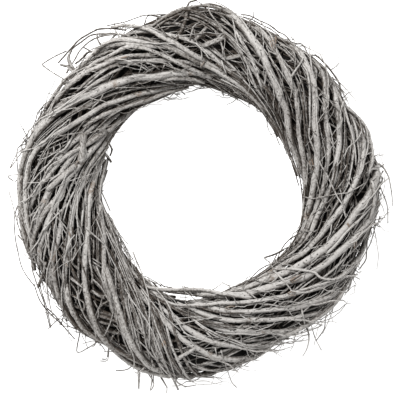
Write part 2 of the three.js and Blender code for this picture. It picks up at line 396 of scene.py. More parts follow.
class Surface:
    """Gathers batches of rods into one mesh.

    Each rod's ends are rounded by a last ring that is a share of the rod's own radius.
    """

    END_ROUNDING: float = 0.8

    def __init__(self) -> None:
        """Starts with nothing in it."""
        self.parts: defaultdict[str, list[Array | Indices]] = defaultdict(list)
        self.count = 0

    def add(self, rods: Rods) -> None:
        """Adds the surfaces of a batch of rods.

        A point is the centre at s along the rod, plus the radius there times the sine of k
        sideways and minus its cosine outwards. Each end has one more, smaller ring and a pole.

        Args:
            rods: the batch.
        """
        centres, sides = rods.centres, rods.sides
        number, steps = centres.shape[:2]
        tangent = unit(np.gradient(centres, axis=1))
        facing = ROLL.way_out(centres) if rods.facing is None else rods.facing
        sideways = unit(np.cross(tangent, facing))
        outwards = np.cross(sideways, tangent)
        worn = np.zeros((number, steps)) if rods.worn is None else rods.worn
        relief = np.zeros((number, steps, sides)) if rods.relief is None else rods.relief
        order = np.r_[0, np.arange(steps), steps - 1]
        radii = rods.radii[:, order].copy()
        radii[:, [0, -1]] *= self.END_ROUNDING
        turned = 2 * np.pi * np.arange(sides) / sides
        spoke = (
            sideways[:, order, None] * np.sin(turned)[:, None]
            - outwards[:, order, None] * np.cos(turned)[:, None]
        )
        reach = radii[:, :, None] * (1 + relief[:, order])
        rings = centres[:, order, None] + spoke * reach[..., None]
        poles = centres[:, [0, -1]]
        per_rod = len(order) * sides + 2
        vertices = np.concatenate([rings.reshape(number, -1, 3), poles], axis=1)
        worn_rings = np.repeat(worn[:, order], sides, axis=1)
        worn = np.concatenate([worn_rings, np.ones((number, 2))], axis=1)
        # Share of wash left, with painted shade: bark facing into the roll or deep in it comes out
        # darker.
        washed_and_shaded = SPRAY_AND_SHADE.left(rings, spoke).reshape(number, -1)
        washed_and_shaded = np.concatenate([washed_and_shaded, washed_and_shaded[:, [0, -1]]], axis=1)
        start = (self.count + per_rod * np.arange(number))[:, None, None]
        self._add_faces(rods, start, lengthwise(centres)[:, order], len(order))
        # The tone swings add painted light and shade along the ring.
        shade = np.clip(rods.shade[:, None] + tone_swing(vertices), DARKEST, LIGHTEST)
        self.parts["vertices"].append(vertices.reshape(-1, 3))
        for name, values in (("shade", shade), ("worn", worn), ("wash_and_shade", washed_and_shaded)):
            self.parts[name].append(values.ravel())
        self.count += number * per_rod

    def _add_faces(self, rods: Rods, start: Indices, along: Array, steps: int) -> None:
        """Adds the quads between rings and the triangles at poles.

        Args:
            rods: the batch.
            start: each rod's first vertex.
            along: each ring's distance from the root.
            steps: rings of a rod.
        """
        sides = rods.sides
        ring, side = np.divmod(np.arange((steps - 1) * sides), sides)
        low = ring * sides + side
        high = ring * sides + (side + 1) % sides
        quads = np.stack([low, low + sides, high + sides, high], axis=-1)
        last = (steps - 1) * sides
        side = np.arange(sides)
        next_side = (side + 1) % sides
        pole = np.full(sides, steps * sides)
        first_fan = np.stack([pole, side, next_side], axis=-1)
        last_fan = np.stack([pole + 1, last + next_side, last + side], axis=-1)
        triangles = np.concatenate([first_fan, last_fan])
        self.parts["quads"].append((start + quads).reshape(-1, 4))
        self.parts["triangles"].append((start + triangles).reshape(-1, 3))
        self._add_places(rods, along, steps)

    def _add_places(self, rods: Rods, along: Array, steps: int) -> None:
        """Adds the places on the bark: across it by the side's width, and along it by distance.

        Args:
            rods: the batch.
            along: each ring's distance from the root.
            steps: rings of a rod.
        """
        sides = rods.sides
        width = (2 * np.pi * rods.radii.mean(axis=1) / sides)[:, None, None]
        shift = (BARK_STRETCH * (0.5 + 0.5 * rods.shade))[:, None, None]
        ring, side = np.divmod(np.arange((steps - 1) * sides), sides)
        across = np.stack([side, side, side + 1, side + 1], axis=-1)
        distance = along[:, np.stack([ring, ring + 1, ring + 1, ring], axis=-1)]
        places = np.stack([across * width + shift, distance], axis=-1)
        self.parts["quad_places"].append(places.ravel())
        side = np.arange(sides)
        fan = np.stack([side + 0.5, side, side + 1], axis=-1)
        fans = np.broadcast_to(np.concatenate([fan, fan]), (len(along), 2 * sides, 3))
        ends = np.repeat(along[:, [0, -1]], sides, axis=1)[..., None] * np.ones(3)
        places = np.stack([fans * width + shift, ends], axis=-1)
        self.parts["triangle_places"].append(places.ravel())

    def piece(self, name: str, material: Material) -> Object:
        """Writes the mesh and makes its object.

        Args:
            name: of the object and its mesh.
            material: of all its faces.

        Returns:
            The object.
        """
        whole = {key: np.concatenate(values) for key, values in self.parts.items()}
        vertices = whole["vertices"] * METRES
        vertices[:, 2] = np.maximum(vertices[:, 2], 0.0)
        quads, triangles = whole["quads"], whole["triangles"]
        mesh = bpy.data.meshes.new(name)
        mesh.vertices.add(len(vertices))
        mesh.vertices.foreach_set("co", vertices.ravel())
        corners = np.concatenate([quads.ravel(), triangles.ravel()])
        after = 4 * len(quads) + 3 * np.arange(len(triangles))
        starts = np.concatenate([4 * np.arange(len(quads)), after])
        mesh.loops.add(len(corners))
        mesh.loops.foreach_set("vertex_index", corners)
        mesh.polygons.add(len(starts))
        mesh.polygons.foreach_set("loop_start", starts)
        mesh.polygons.foreach_set("use_smooth", np.ones(len(starts), bool))
        places = np.concatenate([whole["quad_places"], whole["triangle_places"]])
        layer = mesh.uv_layers.new(name="bark")
        layer.uv.foreach_set("vector", places * METRES)
        for label in ("shade", "worn", "wash_and_shade"):
            attribute = mesh.attributes.new(label, "FLOAT", "POINT")
            attribute.data.foreach_set("value", whole[label])
        mesh.update(calc_edges=True)
        mesh.validate()
        mesh.materials.append(material)
        made = bpy.data.objects.new(name, mesh)
        bpy.context.scene.collection.objects.link(made)
        LOG.info("%s: %d triangles", name, 2 * len(quads) + len(triangles))
        return made


class NodeSheet:
    """Puts nodes in a material. CLOUDS is the span that most of a noise's values lie in."""

    CLOUDS: Span = (0.25, 0.75)

    def __init__(self, name: str) -> None:
        """Makes a material with nothing but its output.

        Args:
            name: of the material.
        """
        self.material = bpy.data.materials.new(name)
        self.material.use_nodes = True
        self.tree = self.material.node_tree
        self.tree.nodes.clear()
        self.output = self.tree.nodes.new("ShaderNodeOutputMaterial")

    def plug(self, socket: Socket, value: object) -> None:
        """Joins another node's socket to one, or sets it to a value.

        Args:
            socket: the input.
            value: a socket or a value.
        """
        if isinstance(value, Socket):
            self.tree.links.new(value, socket)
        else:
            socket.default_value = value

    def node(self, kind: str, options: dict[str, str] | None = None, **inputs: object) -> Node:
        """Adds a node.

        Args:
            kind: its type, without the words ShaderNode.
            options: its settings that aren't inputs.
            **inputs: values or sockets for the inputs of those names, with _ for a space.

        Returns:
            The node.
        """
        made = self.tree.nodes.new("ShaderNode" + kind)
        for key, option in (options or {}).items():
            setattr(made, key, option)
        for key, value in inputs.items():
            self.plug(made.inputs[key.replace("_", " ")], value)
        return made

    def attribute(self, name: str) -> Socket:
        """The value of one of the mesh's own attributes."""
        return self.node("Attribute", {"attribute_name": name}).outputs["Fac"]

    def bark_place(self, across: float, along: float) -> Socket:
        """The place on the bark, scaled across the stem and along it."""
        place = self.node("UVMap", {"uv_map": "bark"}).outputs[0]
        return self.node("Mapping", Vector=place, Scale=(across, along, 1.0)).outputs[0]

    def noise(self, place: object, scale: float, detail: float, rough: float) -> Socket:
        """A cloudy value, mostly within CLOUDS."""
        made = self.node("TexNoise", Vector=place, Scale=scale, Detail=detail, Roughness=rough)
        return made.outputs[0]

    def math(self, operation: str, *values: object) -> Socket:
        """Works out values.

        Args:
            operation: the Math node's own name for it.
            *values: one to three values or sockets.

        Returns:
            The socket of the result.
        """
        made = self.node("Math", {"operation": operation})
        for socket, value in zip(made.inputs, values):
            self.plug(socket, value)
        return made.outputs[0]

    def total(self, *values: object) -> Socket:
        """The sum of values."""
        return reduce(partial(self.math, "ADD"), values)

    def line(self, value: object, span: Span, result: Span) -> Socket:
        """A straight line from one span of values to another, held at its ends."""
        ends = {"From_Min": span[0], "From_Max": span[1], "To_Min": result[0], "To_Max": result[1]}
        return self.node("MapRange", Value=value, **ends).outputs["Result"]

    def mix(self, share: object, first: object, second: object) -> Socket:
        """Mixes two colours.

        Args:
            share: of the second colour.
            first: the one colour.
            second: the other.

        Returns:
            The socket of the mixed colour.
        """
        made = self.node("Mix", {"data_type": "RGBA"})
        factor, colour_a, colour_b = 0, 6, 7
        for place, value in ((factor, share), (colour_a, first), (colour_b, second)):
            self.plug(made.inputs[place], value)
        return made.outputs[2]

    def finish(self, shader: Node) -> Material:
        """Joins the shader to the output and gives the material."""
        self.tree.links.new(shader.outputs[0], self.output.inputs[0])
        return self.material


@dataclass(frozen=True)
class BarkFinish:
    """Whitewashed birch bark.

    The wash varies from stem to stem, in streaks along each, in patches and in crackle, and
    painted shade darkens the stems' flanks and those deep in the roll. Dark pores lie on it, and
    some knots are rubbed brown.

    Its colours run from pale, the thickest wash, by way of middling to bare, which also serves as
    the darkest painted shade, with rubbed for the knots. A share of the places for a pore have
    one. The relief's depth is in metres.
    """

    name: str
    pale: Colour = (0.6, 0.579, 0.554, 1.0)
    middling: Colour = (0.28, 0.262, 0.243, 1.0)
    bare: Colour = (0.062, 0.049, 0.039, 1.0)
    rubbed: Colour = (0.22, 0.155, 0.108, 1.0)
    pore: Colour = (0.03, 0.025, 0.022, 1.0)
    pore_share: float = 0.27
    roughness: float = 0.86
    relief: float = 0.7
    relief_depth: float = 0.0004

    def material(self) -> Material:
        """The material: a wash that thins from pale by way of middling to bare.

        Returns:
            The material.
        """
        sheet = NodeSheet(self.name)
        place = sheet.node("TexCoord").outputs["Object"]
        patches = sheet.noise(place, 55.0, 4.0, 0.6)
        streaks = sheet.noise(sheet.bark_place(900.0, 55.0), 1.0, 5.0, 0.65)
        crackle = sheet.noise(sheet.bark_place(560.0, 340.0), 1.0, 3.0, 0.6)
        wash = sheet.total(
            sheet.line(sheet.attribute("shade"), (DARKEST, -DARKEST), (-0.012, 1.012)),
            # Painted shade: darker where the bark faces into the roll or lies deep in it.
            sheet.line(sheet.attribute("wash_and_shade"), (0.0, 1.0), (-0.55, 0.12)),
            sheet.line(patches, NodeSheet.CLOUDS, (-0.22, 0.22)),
            sheet.line(streaks, NodeSheet.CLOUDS, (-0.36, 0.34)),
            sheet.line(crackle, NodeSheet.CLOUDS, (-0.48, 0.48)),
        )
        thin = sheet.mix(sheet.line(wash, (0.0, 0.5), (0.0, 1.0)), self.bare, self.middling)
        colour = sheet.mix(sheet.line(wash, (0.45, 1.0), (0.0, 1.0)), thin, self.pale)
        colour = sheet.mix(self.rubbed_share(sheet, place), colour, self.rubbed)
        pores = self.pores(sheet)
        colour = sheet.mix(pores, colour, self.pore)
        height = sheet.total(streaks, sheet.math("MULTIPLY", crackle, 0.8))
        height = sheet.math("SUBTRACT", height, pores)
        bump = sheet.node("Bump", Strength=self.relief, Distance=self.relief_depth, Height=height)
        shader = sheet.node("BsdfPrincipled", Base_Color=colour, Normal=bump.outputs[0])
        shader.inputs["Roughness"].default_value = self.roughness
        shader.inputs["Specular IOR Level"].default_value = 0.25
        return sheet.finish(shader)

    def rubbed_share(self, sheet: NodeSheet, place: Socket) -> Socket:
        """How far the wash is rubbed off: only where a knot and a cloudy value meet."""
        both = sheet.math("MULTIPLY", sheet.attribute("worn"), sheet.noise(place, 420.0, 4.0, 0.7))
        return sheet.line(both, (0.36, 0.56), (0.0, 0.8))

    def pores(self, sheet: NodeSheet) -> Socket:
        """How much of a pore lies at a place: a spot round the middle of some cells.

        Args:
            sheet: the material's nodes.

        Returns:
            Near 1 in a pore and 0 beside it.
        """
        place = sheet.bark_place(255.0, 205.0)
        spots = sheet.node("TexVoronoi", {"voronoi_dimensions": "2D"}, Scale=1.0, Vector=place)
        spot = sheet.line(spots.outputs["Distance"], (0.12, 0.2), (0.9, 0.0))
        lots = sheet.node("SeparateColor", Color=spots.outputs["Color"]).outputs[0]
        return sheet.math("MULTIPLY", spot, sheet.math("LESS_THAN", lots, self.pore_share))


@dataclass(frozen=True)
class WireFinish:
    """Dull binding wire."""

    name: str = "binding_wire"
    clean: Colour = (0.09, 0.085, 0.08, 1.0)
    dull: Colour = (0.16, 0.13, 0.1, 1.0)

    def material(self) -> Material:
        """Builds the material: dark steel, duller in patches.

        Returns:
            The material.
        """
        sheet = NodeSheet(self.name)
        place = sheet.node("TexCoord").outputs["Object"]
        patches = sheet.noise(place, 400.0, 3.0, 0.5)
        colour = sheet.mix(patches, self.clean, self.dull)
        roughness = sheet.line(patches, NodeSheet.CLOUDS, (0.45, 0.75))
        shader = sheet.node("BsdfPrincipled", Base_Color=colour, Roughness=roughness)
        shader.inputs["Metallic"].default_value = 0.8
        return sheet.finish(shader)


@dataclass(frozen=True)
class FloorFinish:
    """A pale sheet with a little light of its own, as a lit sweep has."""

    name: str = "pale_floor"
    colour: Colour = (0.8, 0.8, 0.8, 1.0)
    glow: float = 1.0

    def material(self) -> Material:
        """Builds the material.

        Returns:
            The material.
        """
        sheet = NodeSheet(self.name)
        shader = sheet.node("BsdfPrincipled")
        shader.inputs["Base Color"].default_value = self.colour
        shader.inputs["Roughness"].default_value = 0.9
        shader.inputs["Specular IOR Level"].default_value = 0.1
        shader.inputs["Emission Color"].default_value = (1.0, 1.0, 1.0, 1.0)
        shader.inputs["Emission Strength"].default_value = self.glow
        return sheet.finish(shader)


class Slot(Enum):
    """The record's material slots."""

    WASHED = "whitewashed_bark"
    SHADED = "shaded_bark"


class Branch(NamedTuple):
    """One wound branch: the ring angle where it crosses the top or the underside, its share of the
    usual lay, the angles round the roll where it starts and ends, its diameters there, how light it
    is, and the degrees of the ring that a fork spreads from it by."""

    at: float
    lay: float
    start: float
    end: float
    thick: float
    thin: float
    shade: float = 0.0
    fork: float = 0.0


# The branches wound over the top.
TOP_BRANCHES = (
    Branch(13, 1.02, -20, 150, 6.5, 6, 0.6),
    Branch(22, 1, -6, 178, 5, 5, 0.4),
    Branch(32.5, 0.98, -22, 195, 7.5, 7.5, 0.85),
    Branch(49, 0.85, -8, 196, 5.5, 6.5, 0.6, -4.5),
    Branch(60.5, 0.79, -22, 190, 8.6, 8, 0.85),
    Branch(72, 0.85, -16, 140, 4.5, 4, 0.2, 3.5),
    Branch(92, 0.88, -20, 198, 5, 5, 0.75),
    Branch(101, 0.88, -28, 172, 7, 6.5, 0.5),
    Branch(112, 1.05, -18, 125, 5, 5, 0.5, 4),
    Branch(131, 1.2, -26, 150, 8, 8, 1),
    Branch(149, 0.9, -25, 196, 6, 5.5, 0.75),
    Branch(164, 0.95, 24, 122, 5, 5.5, 0.35),
    Branch(172.5, 0.95, -16, 150, 6, 6, 0.5),
    Branch(181, 0.88, -22, 190, 6.8, 7, 0.7),
    Branch(189, 1, -20, 84, 6.5, 7.5, 0.6),
    Branch(198, 1, -12, 175, 6, 6.5, 0.7),
    Branch(214, 0.98, -22, 190, 6, 6.5, 0.8, 4),
    Branch(231, 0.88, -18, 196, 6, 6.5, 0.5),
    Branch(243, 0.72, -6, 150, 4, 3.5, 0.1, 3),
    Branch(261, 0.98, -20, 195, 6.2, 6.5, 0.6),
    Branch(270, 1, -22, 124, 5.5, 6.5, 0.8),
    Branch(281, 1.02, -10, 188, 5, 5, 0.65),
    Branch(291, 1.05, -20, 140, 5, 5, 0.4),
    Branch(301, 1.03, -14, 148, 6, 5.5, 0.6),
    Branch(312.5, 1, -22, 138, 6, 5.5, 0.35),
    Branch(328.5, 1.05, -16, 194, 7.8, 7, 0.95, 4),
    Branch(341.5, 1, -20, 168, 8, 7.8, 0.7),
    Branch(355, 0.95, -20, 186, 6, 6, 0.55, 4),
)


class ReachingTwig(NamedTuple):
    """A long loose twig: its branch, where it leaves it round the roll, and its tip."""

    branch: int
    leaves: float
    tip: Point


# The numbers of branches count from 1, and the tips are millimetres from the ring's middle.
REACHING_TWIGS = (
    ReachingTwig(14, 8, (-213, 4, 34)),
    ReachingTwig(7, -6, (-96, 188, 30)),
    ReachingTwig(6, 10, (10, 211, 44)),
    ReachingTwig(27, 0, (212, -16, 36)),
    ReachingTwig(22, 6, (112, -182, 40)),
    ReachingTwig(19, 12, (-6, -213, 38)),
    ReachingTwig(18, 20, (-74, -198, 46)),
)

UNDERSIDE_BRANCHES = 18

# How deep the inner sides of the wound branches lie, the degrees of the ring that each wavers by,
# and the share of its diameter that a rod's ends have.
WINDING_DEPTH = 9.0
WAVER = 0.5
END_SHARE = 0.6


@dataclass(frozen=True)
class RodDraws:
    """Draws one number for each of some rods, as a column."""

    rng: Generator
    number: int

    def __call__(self, low: float, high: float) -> Array:
        """Numbers from low to high, rods by 1."""
        return self.rng.uniform(low, high, (self.number, 1))


def end_share(along: Array) -> Array:
    """A rod's share of its diameter: less over the last tenth at either end."""
    return np.minimum(1.0, END_SHARE + 4 * np.minimum(along, 1 - along))


@dataclass
class WoundLines:
    """Centre lines wound over the roll, one or a column: the ring angle at the crossing, the share
    of the usual lay, the angles round the roll of the start, the end and the crossing, and the
    height and phase of a small wave."""

    at: Value
    lay: Value
    start: Value
    end: Value
    crossing: Value
    waver: Value
    phase: Value

    def around(self, along: Array) -> Array:
        """Angles round the roll at shares of the length."""
        return lerp(self.start, self.end, along)

    def ring(self, around: Array) -> Array:
        """Angles round the ring: less the lay's gain from the crossing on, plus a small wave."""
        gain = ROLL.lay_gain(around) - ROLL.lay_gain(self.crossing)
        return self.at - self.lay * gain + self.waver * np.sin(np.radians(3 * around + self.phase))


# The waves of the bark: length along the stem, turns round it, and share of the height.
BARK_WAVES = ((34.0, 1, 0.5), (15.0, 2, 0.3), (7.0, 1, 0.2))


def bark_relief(rng: Generator, centres: Array, sides: int, strength: float) -> Array:
    """Low swellings of the bark as a share of the radius, rods by steps by sides.

    The sum of waves along the stem and round it, each with a phase of its own.

    Args:
        rng: the random stream.
        centres: of the rods.
        sides: of the section.
        strength: height of the waves together.

    Returns:
        The share to add.
    """
    turned = 2 * np.pi * np.arange(sides) / sides
    along = lengthwise(centres)[..., None]
    total = np.zeros(1)
    for length, turns, share in BARK_WAVES:
        phase = rng.uniform(0, 2 * np.pi, (len(along), 1, 1))
        total = total + share * np.sin(2 * np.pi * along / length + turns * turned + phase)
    return strength * total


# The place of a knot that is left out, off the rod.
FAR_OFF = -9.0


def knots(along: Array, places: Array, width: float) -> Array:
    """Bell curves round places along each rod, all as shares of its length, added together."""
    return bell(along[None, :, None] - places[:, None, :], width).sum(axis=-1)


def kinked(rng: Generator, centres: Array, nodes: int, size: Value) -> Array:
    """Twigs that turn a little at each of their buds.

    A random offset at each bud, with straight pieces between the buds, and none at the root.

    Args:
        rng: the random stream.
        centres: of the twigs.
        nodes: buds of a twig.
        size: of the offsets, for all twigs or for each.

    Returns:
        The bent centre lines.
    """
    number, steps = centres.shape[:2]
    offsets = rng.normal(0, 1, (number, nodes + 1, 3)) * np.reshape(size, (-1, 1, 1))
    offsets[:, 0] = 0
    place = np.linspace(0, nodes, steps)
    low = np.minimum(place.astype(int), nodes - 1)
    return centres + lerp(offsets[:, low], offsets[:, low + 1], (place - low)[None, :, None])


@dataclass
class Twigs:
    """Fine side twigs, each on a root point of something thicker.

    Attributes:
        roots: where they grow, twigs by 3.
        directions: unit vectors, twigs by 3.
        lengths: one a twig.
        diameters: at the roots.
        bend: how far the tips bend along the pull, as a share of the length.
        pull: unit vectors, twigs by 3.
        kink: size of the steps at the buds, as a share of the length.
        steps: points of a twig.
        sides: of its section.
        taper: share of the diameter that is left at the tip.
    """

    roots: Array
    directions: Array
    lengths: Array
    diameters: Array
    bend: Array
    pull: Array
    kink: float
    steps: int
    sides: int
    taper: float = 0.35

    def centres(self, rng: Generator) -> Array:
        """Centre lines: parabolas along the direction, bent along the pull, plus the kinks.

        Args:
            rng: the random stream.

        Returns:
            The lines.
        """
        share = np.linspace(0, 1, self.steps)[None, :, None]
        length = self.lengths[:, None, None]
        line = self.roots[:, None] + self.directions[:, None] * length * share
        line = line + self.pull[:, None] * (self.bend * self.lengths)[:, None, None] * share**2
        return kinked(rng, line, max(2, self.steps // 2), self.kink * self.lengths)

    def rods(self, rng: Generator, shade: Array) -> Rods:
        """The twigs as rods that taper to their tips and stay inside the part's reach.

        Args:
            rng: the random stream.
            shade: how light each twig is.

        Returns:
            The rods that stay inside.
        """
        centres = self.centres(rng)
        radii = self.diameters[:, None] / 2 * lerp(1.0, self.taper, np.linspace(0, 1, self.steps))
        inside = within_reach(centres)
        chord = unit(centres[:, -1] - centres[:, 0])
        upright = ROLL.way_out(self.roots) + 0.01
        facing = unit(upright - chord * (upright * chord).sum(axis=-1, keepdims=True))
        facing = np.broadcast_to(facing[:, None], centres.shape)[inside]
        return Rods(centres[inside], radii[inside], self.sides, shade[inside], facing=facing)


# The room that the part's solids take, and the ring angles of the hole's clean edge.
REACH = 219.0
TOP = 84.0
TABLE_CLEARANCE = 1.0
CLEAN_EDGE = (-20.0, 25.0)


def within_reach(centres: Array) -> Flags:
    """Which rods stay inside the part's room, and out of the hole where its edge is clean.

    Args:
        centres: centre lines, rods by steps by 3.

    Returns:
        True for each rod that is kept.
    """
    out, at, inner, _ = ROLL.seat(centres[..., 0], centres[..., 1])
    far = out.max(axis=1) < REACH
    high = centres[..., 2].max(axis=1) < TOP
    low = centres[..., 2].min(axis=1) > TABLE_CLEARANCE
    in_hole = (out < inner) & within(at, CLEAN_EDGE)
    return far & high & low & ~in_hole.any(axis=1)


def dress(piece: Object, slot: Slot, *nodes: str) -> None:
    """Makes a piece ride on the part, and hides the nodes that it stands for.

    Args:
        piece: the object.
        slot: not used.
        *nodes: the solids that it replaces.
    """
    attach(piece, ROOT)
    if nodes:
        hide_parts(*nodes)


@dataclass
class WashedWood:
    """A sub-assembly of washed wood: its finish, its own random stream with its seed, and the
    height of its bark's relief as a share of the radius."""

    washed_and_shaded: Material
    seed: int
    relief: float = 0.05
    rng: Generator = field(init=False)

    def __post_init__(self) -> None:
        """Starts the stream."""
        self.rng = np.random.default_rng(self.seed)

    def write(self, name: str, batches: Iterable[Rods], *nodes: str) -> None:
        """Makes a washed piece.

        Args:
            name: of the piece.
            batches: its rods.
            *nodes: the solids that it replaces.
        """
        surface = Surface()
        for rods in batches:
            surface.add(rods)
        dress(surface.piece(name, self.washed_and_shaded), Slot.WASHED, *nodes)


@dataclass
class BranchTwigRule:
    """The part's rule for a side twig, that rises along its branch and then leans off: the angle
    round the roll where it leaves, the degrees that it runs round the roll, the rise of its tip out
    of the roll, and its lean in degrees of the ring."""

    leaves: float
    length: float
    rise: float
    lean: float

    def centres(self, line: "CadBranch", steps: int) -> Array:
        """The twig's centre line, from its branch's own line.

        Args:
            line: the branch.
            steps: how many points.

        Returns:
            One by steps by 3.
        """
        share = np.linspace(0, 1, steps)
        start = float(np.clip(line.share_at(self.leaves), 0.08, 0.92))
        along = np.clip(start + self.length / line.turn * share, 0, 1)
        free = np.maximum(0, share - 0.4) / 0.6
        depth = lerp(line.depth(np.array([start]))[0], -self.rise, share**0.7)
        at = line.ring(along) + self.lean * free**1.5
        return ROLL.point(at, line.around(along), depth)[None]


@dataclass
class CadBranch:
    """One wound branch as the part has it: its row of numbers, the angle round the roll that its
    ring angle is given for, and the phase of its wavering."""

    row: Branch
    crossing: float
    phase: float

    @property
    def turn(self) -> float:
        """Degrees that it runs round the roll."""
        return self.row.end - self.row.start

    def share_at(self, around: float) -> float:
        """The share of its length at which it lies at an angle round the roll."""
        return (around - self.row.start) / self.turn

    @property
    def line(self) -> WoundLines:
        """Its centre line."""
        return WoundLines(*self.row[:4], self.crossing, WAVER, self.phase)

    def around(self, along: Array) -> Array:
        """Angles round the roll at shares of the length."""
        return self.line.around(along)

    def ring(self, along: Array) -> Array:
        """Angles round the ring at shares of the length."""
        return self.line.ring(self.around(along))

    def radius(self, along: Array) -> Array:
        """Radii at shares of the length."""
        return lerp(self.row.thick, self.row.thin, along) / 2 * end_share(along)

    def depth(self, along: Array) -> Array:
        """Depths of the centre line, that keep the branch's inner side on what is under it."""
        return WINDING_DEPTH - self.radius(along)

    def point(self, along: Array, depth: Value) -> Array:
        """Points at shares of the length and a depth."""
        return ROLL.point(self.ring(along), self.around(along), depth)

    def centres(self, steps: int) -> Array:
        """The centre line, one by steps by 3."""
        along = np.linspace(0, 1, steps)
        return self.point(along, self.depth(along))[None]


@dataclass
class WoundBranches(WashedWood):
    """The thick branches wound over the top and along the underside, with a section at each step.

    Each has knots of a length, one to some length of branch, that swell by a share of the radius.
    A share of them is worn. Each also has some fine side twigs.
    """

    seed: int = 21
    part_seed: int = 11
    sides: int = 12
    step: float = 3.2
    twigs: int = 9
    knot: float = 3.0
    knot_every: float = 32.0
    knot_swell: float = 0.13
    worn_knots: float = 0.16

    def branch_rods(self, line: CadBranch, shade: float) -> Rods:
        """The branch itself, with bark relief, knots and worn patches at its knots.

        Args:
            line: its centre line and radius.
            shade: how light it is.

        Returns:
            A batch of one rod.
        """
        length = lengthwise(line.centres(40))[0, -1]
        steps = int(length / self.step)
        along = np.linspace(0, 1, steps)
        centres = line.centres(steps)
        centres = centres + self.sway(centres, length)
        places = self.rng.uniform(0.04, 0.96, (1, max(3, int(length / self.knot_every))))
        swollen = self.knot_swell * knots(along, places, self.knot / length)
        radii = line.radius(along)[None] * (1 + swollen)
        relief = bark_relief(self.rng, centres, self.sides, self.relief)
        worn = self.rng.random(places.shape) < self.worn_knots
        worn = knots(along, np.where(worn, places, FAR_OFF), 2 * self.knot / length)
        worn = np.clip(worn + 0.8 * (bell(along, 0.01) + bell(1 - along, 0.01)), 0, 1)
        return Rods(centres, radii, self.sides, np.array([shade]), worn, relief=relief)

    def sway(self, centres: Array, length: float) -> Array:
        """A small wandering of the centre line: two waves along it, sideways and in depth.

        Args:
            centres: the line, one by steps by 3.
            length: of the line.

        Returns:
            What to add to it.
        """
        distance = lengthwise(centres)
        tangent = unit(np.gradient(centres, axis=1))
        out = ROLL.way_out(centres)
        side = np.cross(tangent, out)
        phase = self.rng.uniform(0, 2 * np.pi, 4)
        sideways = 0.7 * np.sin(distance / 11 + phase[0]) + 0.4 * np.sin(distance / 5.5 + phase[1])
        depthwise = 0.3 * np.sin(distance / 9 + phase[2]) + 0.15 * np.sin(distance / 4 + phase[3])
        ease = np.sin(np.pi * np.clip(distance / length, 0, 1)) ** 0.5
        return (side * sideways[..., None] + out * depthwise[..., None]) * ease[..., None]

    def fork_rods(self, line: CadBranch, shade: float) -> Rods:
        """A fork, that runs back beside its branch to the outer edge and spreads from it.

        Args:
            line: the branch.
            shade: how light it is.

        Returns:
            A batch of one rod.
        """
        share = np.linspace(0, 1, 34)
        along = lerp(min(0.62, line.share_at(98.0)), 0.04, share)
        radii = lerp(0.68, 0.44, share) * line.row.thick / 2
        apart = line.row.fork * (1 - np.cos(np.pi * share / 2)) ** 0.7
        depth = WINDING_DEPTH - radii
        centres = ROLL.point(line.ring(along) + apart, line.around(along), depth)[None]
        relief = bark_relief(self.rng, centres, 8, self.relief)
        return Rods(centres, radii[None], 8, np.array([shade]), relief=relief)

    def twig_rods(self, centres: Array, thick: float, thin: float, shade: float) -> Rods:
        """One of the part's side twigs, from its thick root to its thin tip, with small kinks."""
        radii = lerp(thick, thin, np.linspace(0, 1, centres.shape[1]))[None] / 2
        return Rods(kinked(self.rng, centres, 5, 0.5), radii, 6, np.array([shade]))

    def fine_twigs(self, line: CadBranch, number: int) -> Rods:
        """Fine twigs along a branch, that point forwards along it and lift off a little.

        Args:
            line: the branch.
            number: of twigs.

        Returns:
            The rods.
        """
        draw = self.rng.uniform
        along = draw(0.05, 0.9, number)
        roots = line.point(along, line.depth(along))
        ahead = unit(line.point(along + 0.01, 0.0) - line.point(along, 0.0))
        out = ROLL.way_out(roots)
        side = np.cross(ahead, out) * self.rng.choice([-1.0, 1.0], number)[:, None]
        turn = draw(0.15, 0.8, number)[:, None]
        sense = self.rng.choice([-1.0, 1.0], number, p=[0.3, 0.7])[:, None]
        return Twigs(
            roots,
            directions=unit(ahead * sense + side * turn + out * 0.4),
            lengths=draw(16, 60, number),
            diameters=draw(0.9, 2.0, number),
            bend=draw(0.15, 0.5, number),
            pull=-out,
            kink=0.02,
            steps=12,
            sides=5,
        ).rods(self.rng, draw(-0.2, 0.9, number))

    def lines(self) -> Iterator[tuple[str, CadBranch, list[BranchTwigRule], list[ReachingTwig]]]:
        """Every branch, with the part's own draws in the part's own order.

        Yields:
            Its node's name, its line, its side twigs and its reaching twigs.
        """
        stream = SeededStream(self.part_seed)
        for index, row in enumerate(TOP_BRANCHES):
            line = CadBranch(row, 90.0, stream.between(0, 360))
            starts = [(stream.between(30, 80), stream.between(26, 36))]
            starts.append((62.0, -stream.between(38, 56)))
            rules = []
            for leaves, length in starts:
                lean = stream.between(2, 5) * (-1 if stream.draw() < 0.5 else 1)
                rules.append(BranchTwigRule(leaves, length, stream.between(4, 8), lean))
            reaching = [twig for twig in REACHING_TWIGS if twig.branch == index + 1]
            yield f"top_branch_{index + 1:02d}", line, rules, reaching
        for index in range(UNDERSIDE_BRANCHES):
            stands = index % 3 == 0
            thick = WINDING_DEPTH if stands else stream.between(5.5, 7.6)
            row = Branch(
                index * 360 / UNDERSIDE_BRANCHES + stream.between(-2, 2),
                stream.between(0.92, 1.04),
                stream.between(206, 214),
                stream.between(325, 333),
                thick,
                thick if stands else thick - 0.8,
            )
            line = CadBranch(row, 270.0, stream.between(0, 360))
            spans = ((286, 300), (20, 26), (3, 5), (2, 4))
            rule = BranchTwigRule(*(stream.between(*span) for span in spans))
            yield f"underside_branch_{index + 1:02d}", line, [rule], []

    def build(self) -> None:
        """Makes one piece for each branch node."""
        for name, line, rules, reaching in self.lines():
            shade = self.rng.uniform(-0.15, 0.5)
            if name.startswith("top"):
                shade = line.row.shade
            batches = [self.branch_rods(line, shade)]
            if line.row.fork:
                batches.append(self.fork_rods(line, shade))
            for rule in rules:
                batches.append(self.twig_rods(rule.centres(line, 16), 2.6, 1.2, shade))
            for twig in reaching:
                batches.append(self.twig_rods(self.reaching_line(line, twig), 2.6, 0.9, shade))
            batches.append(self.fine_twigs(line, self.twigs))
            self.write("bark_" + name, batches, name)

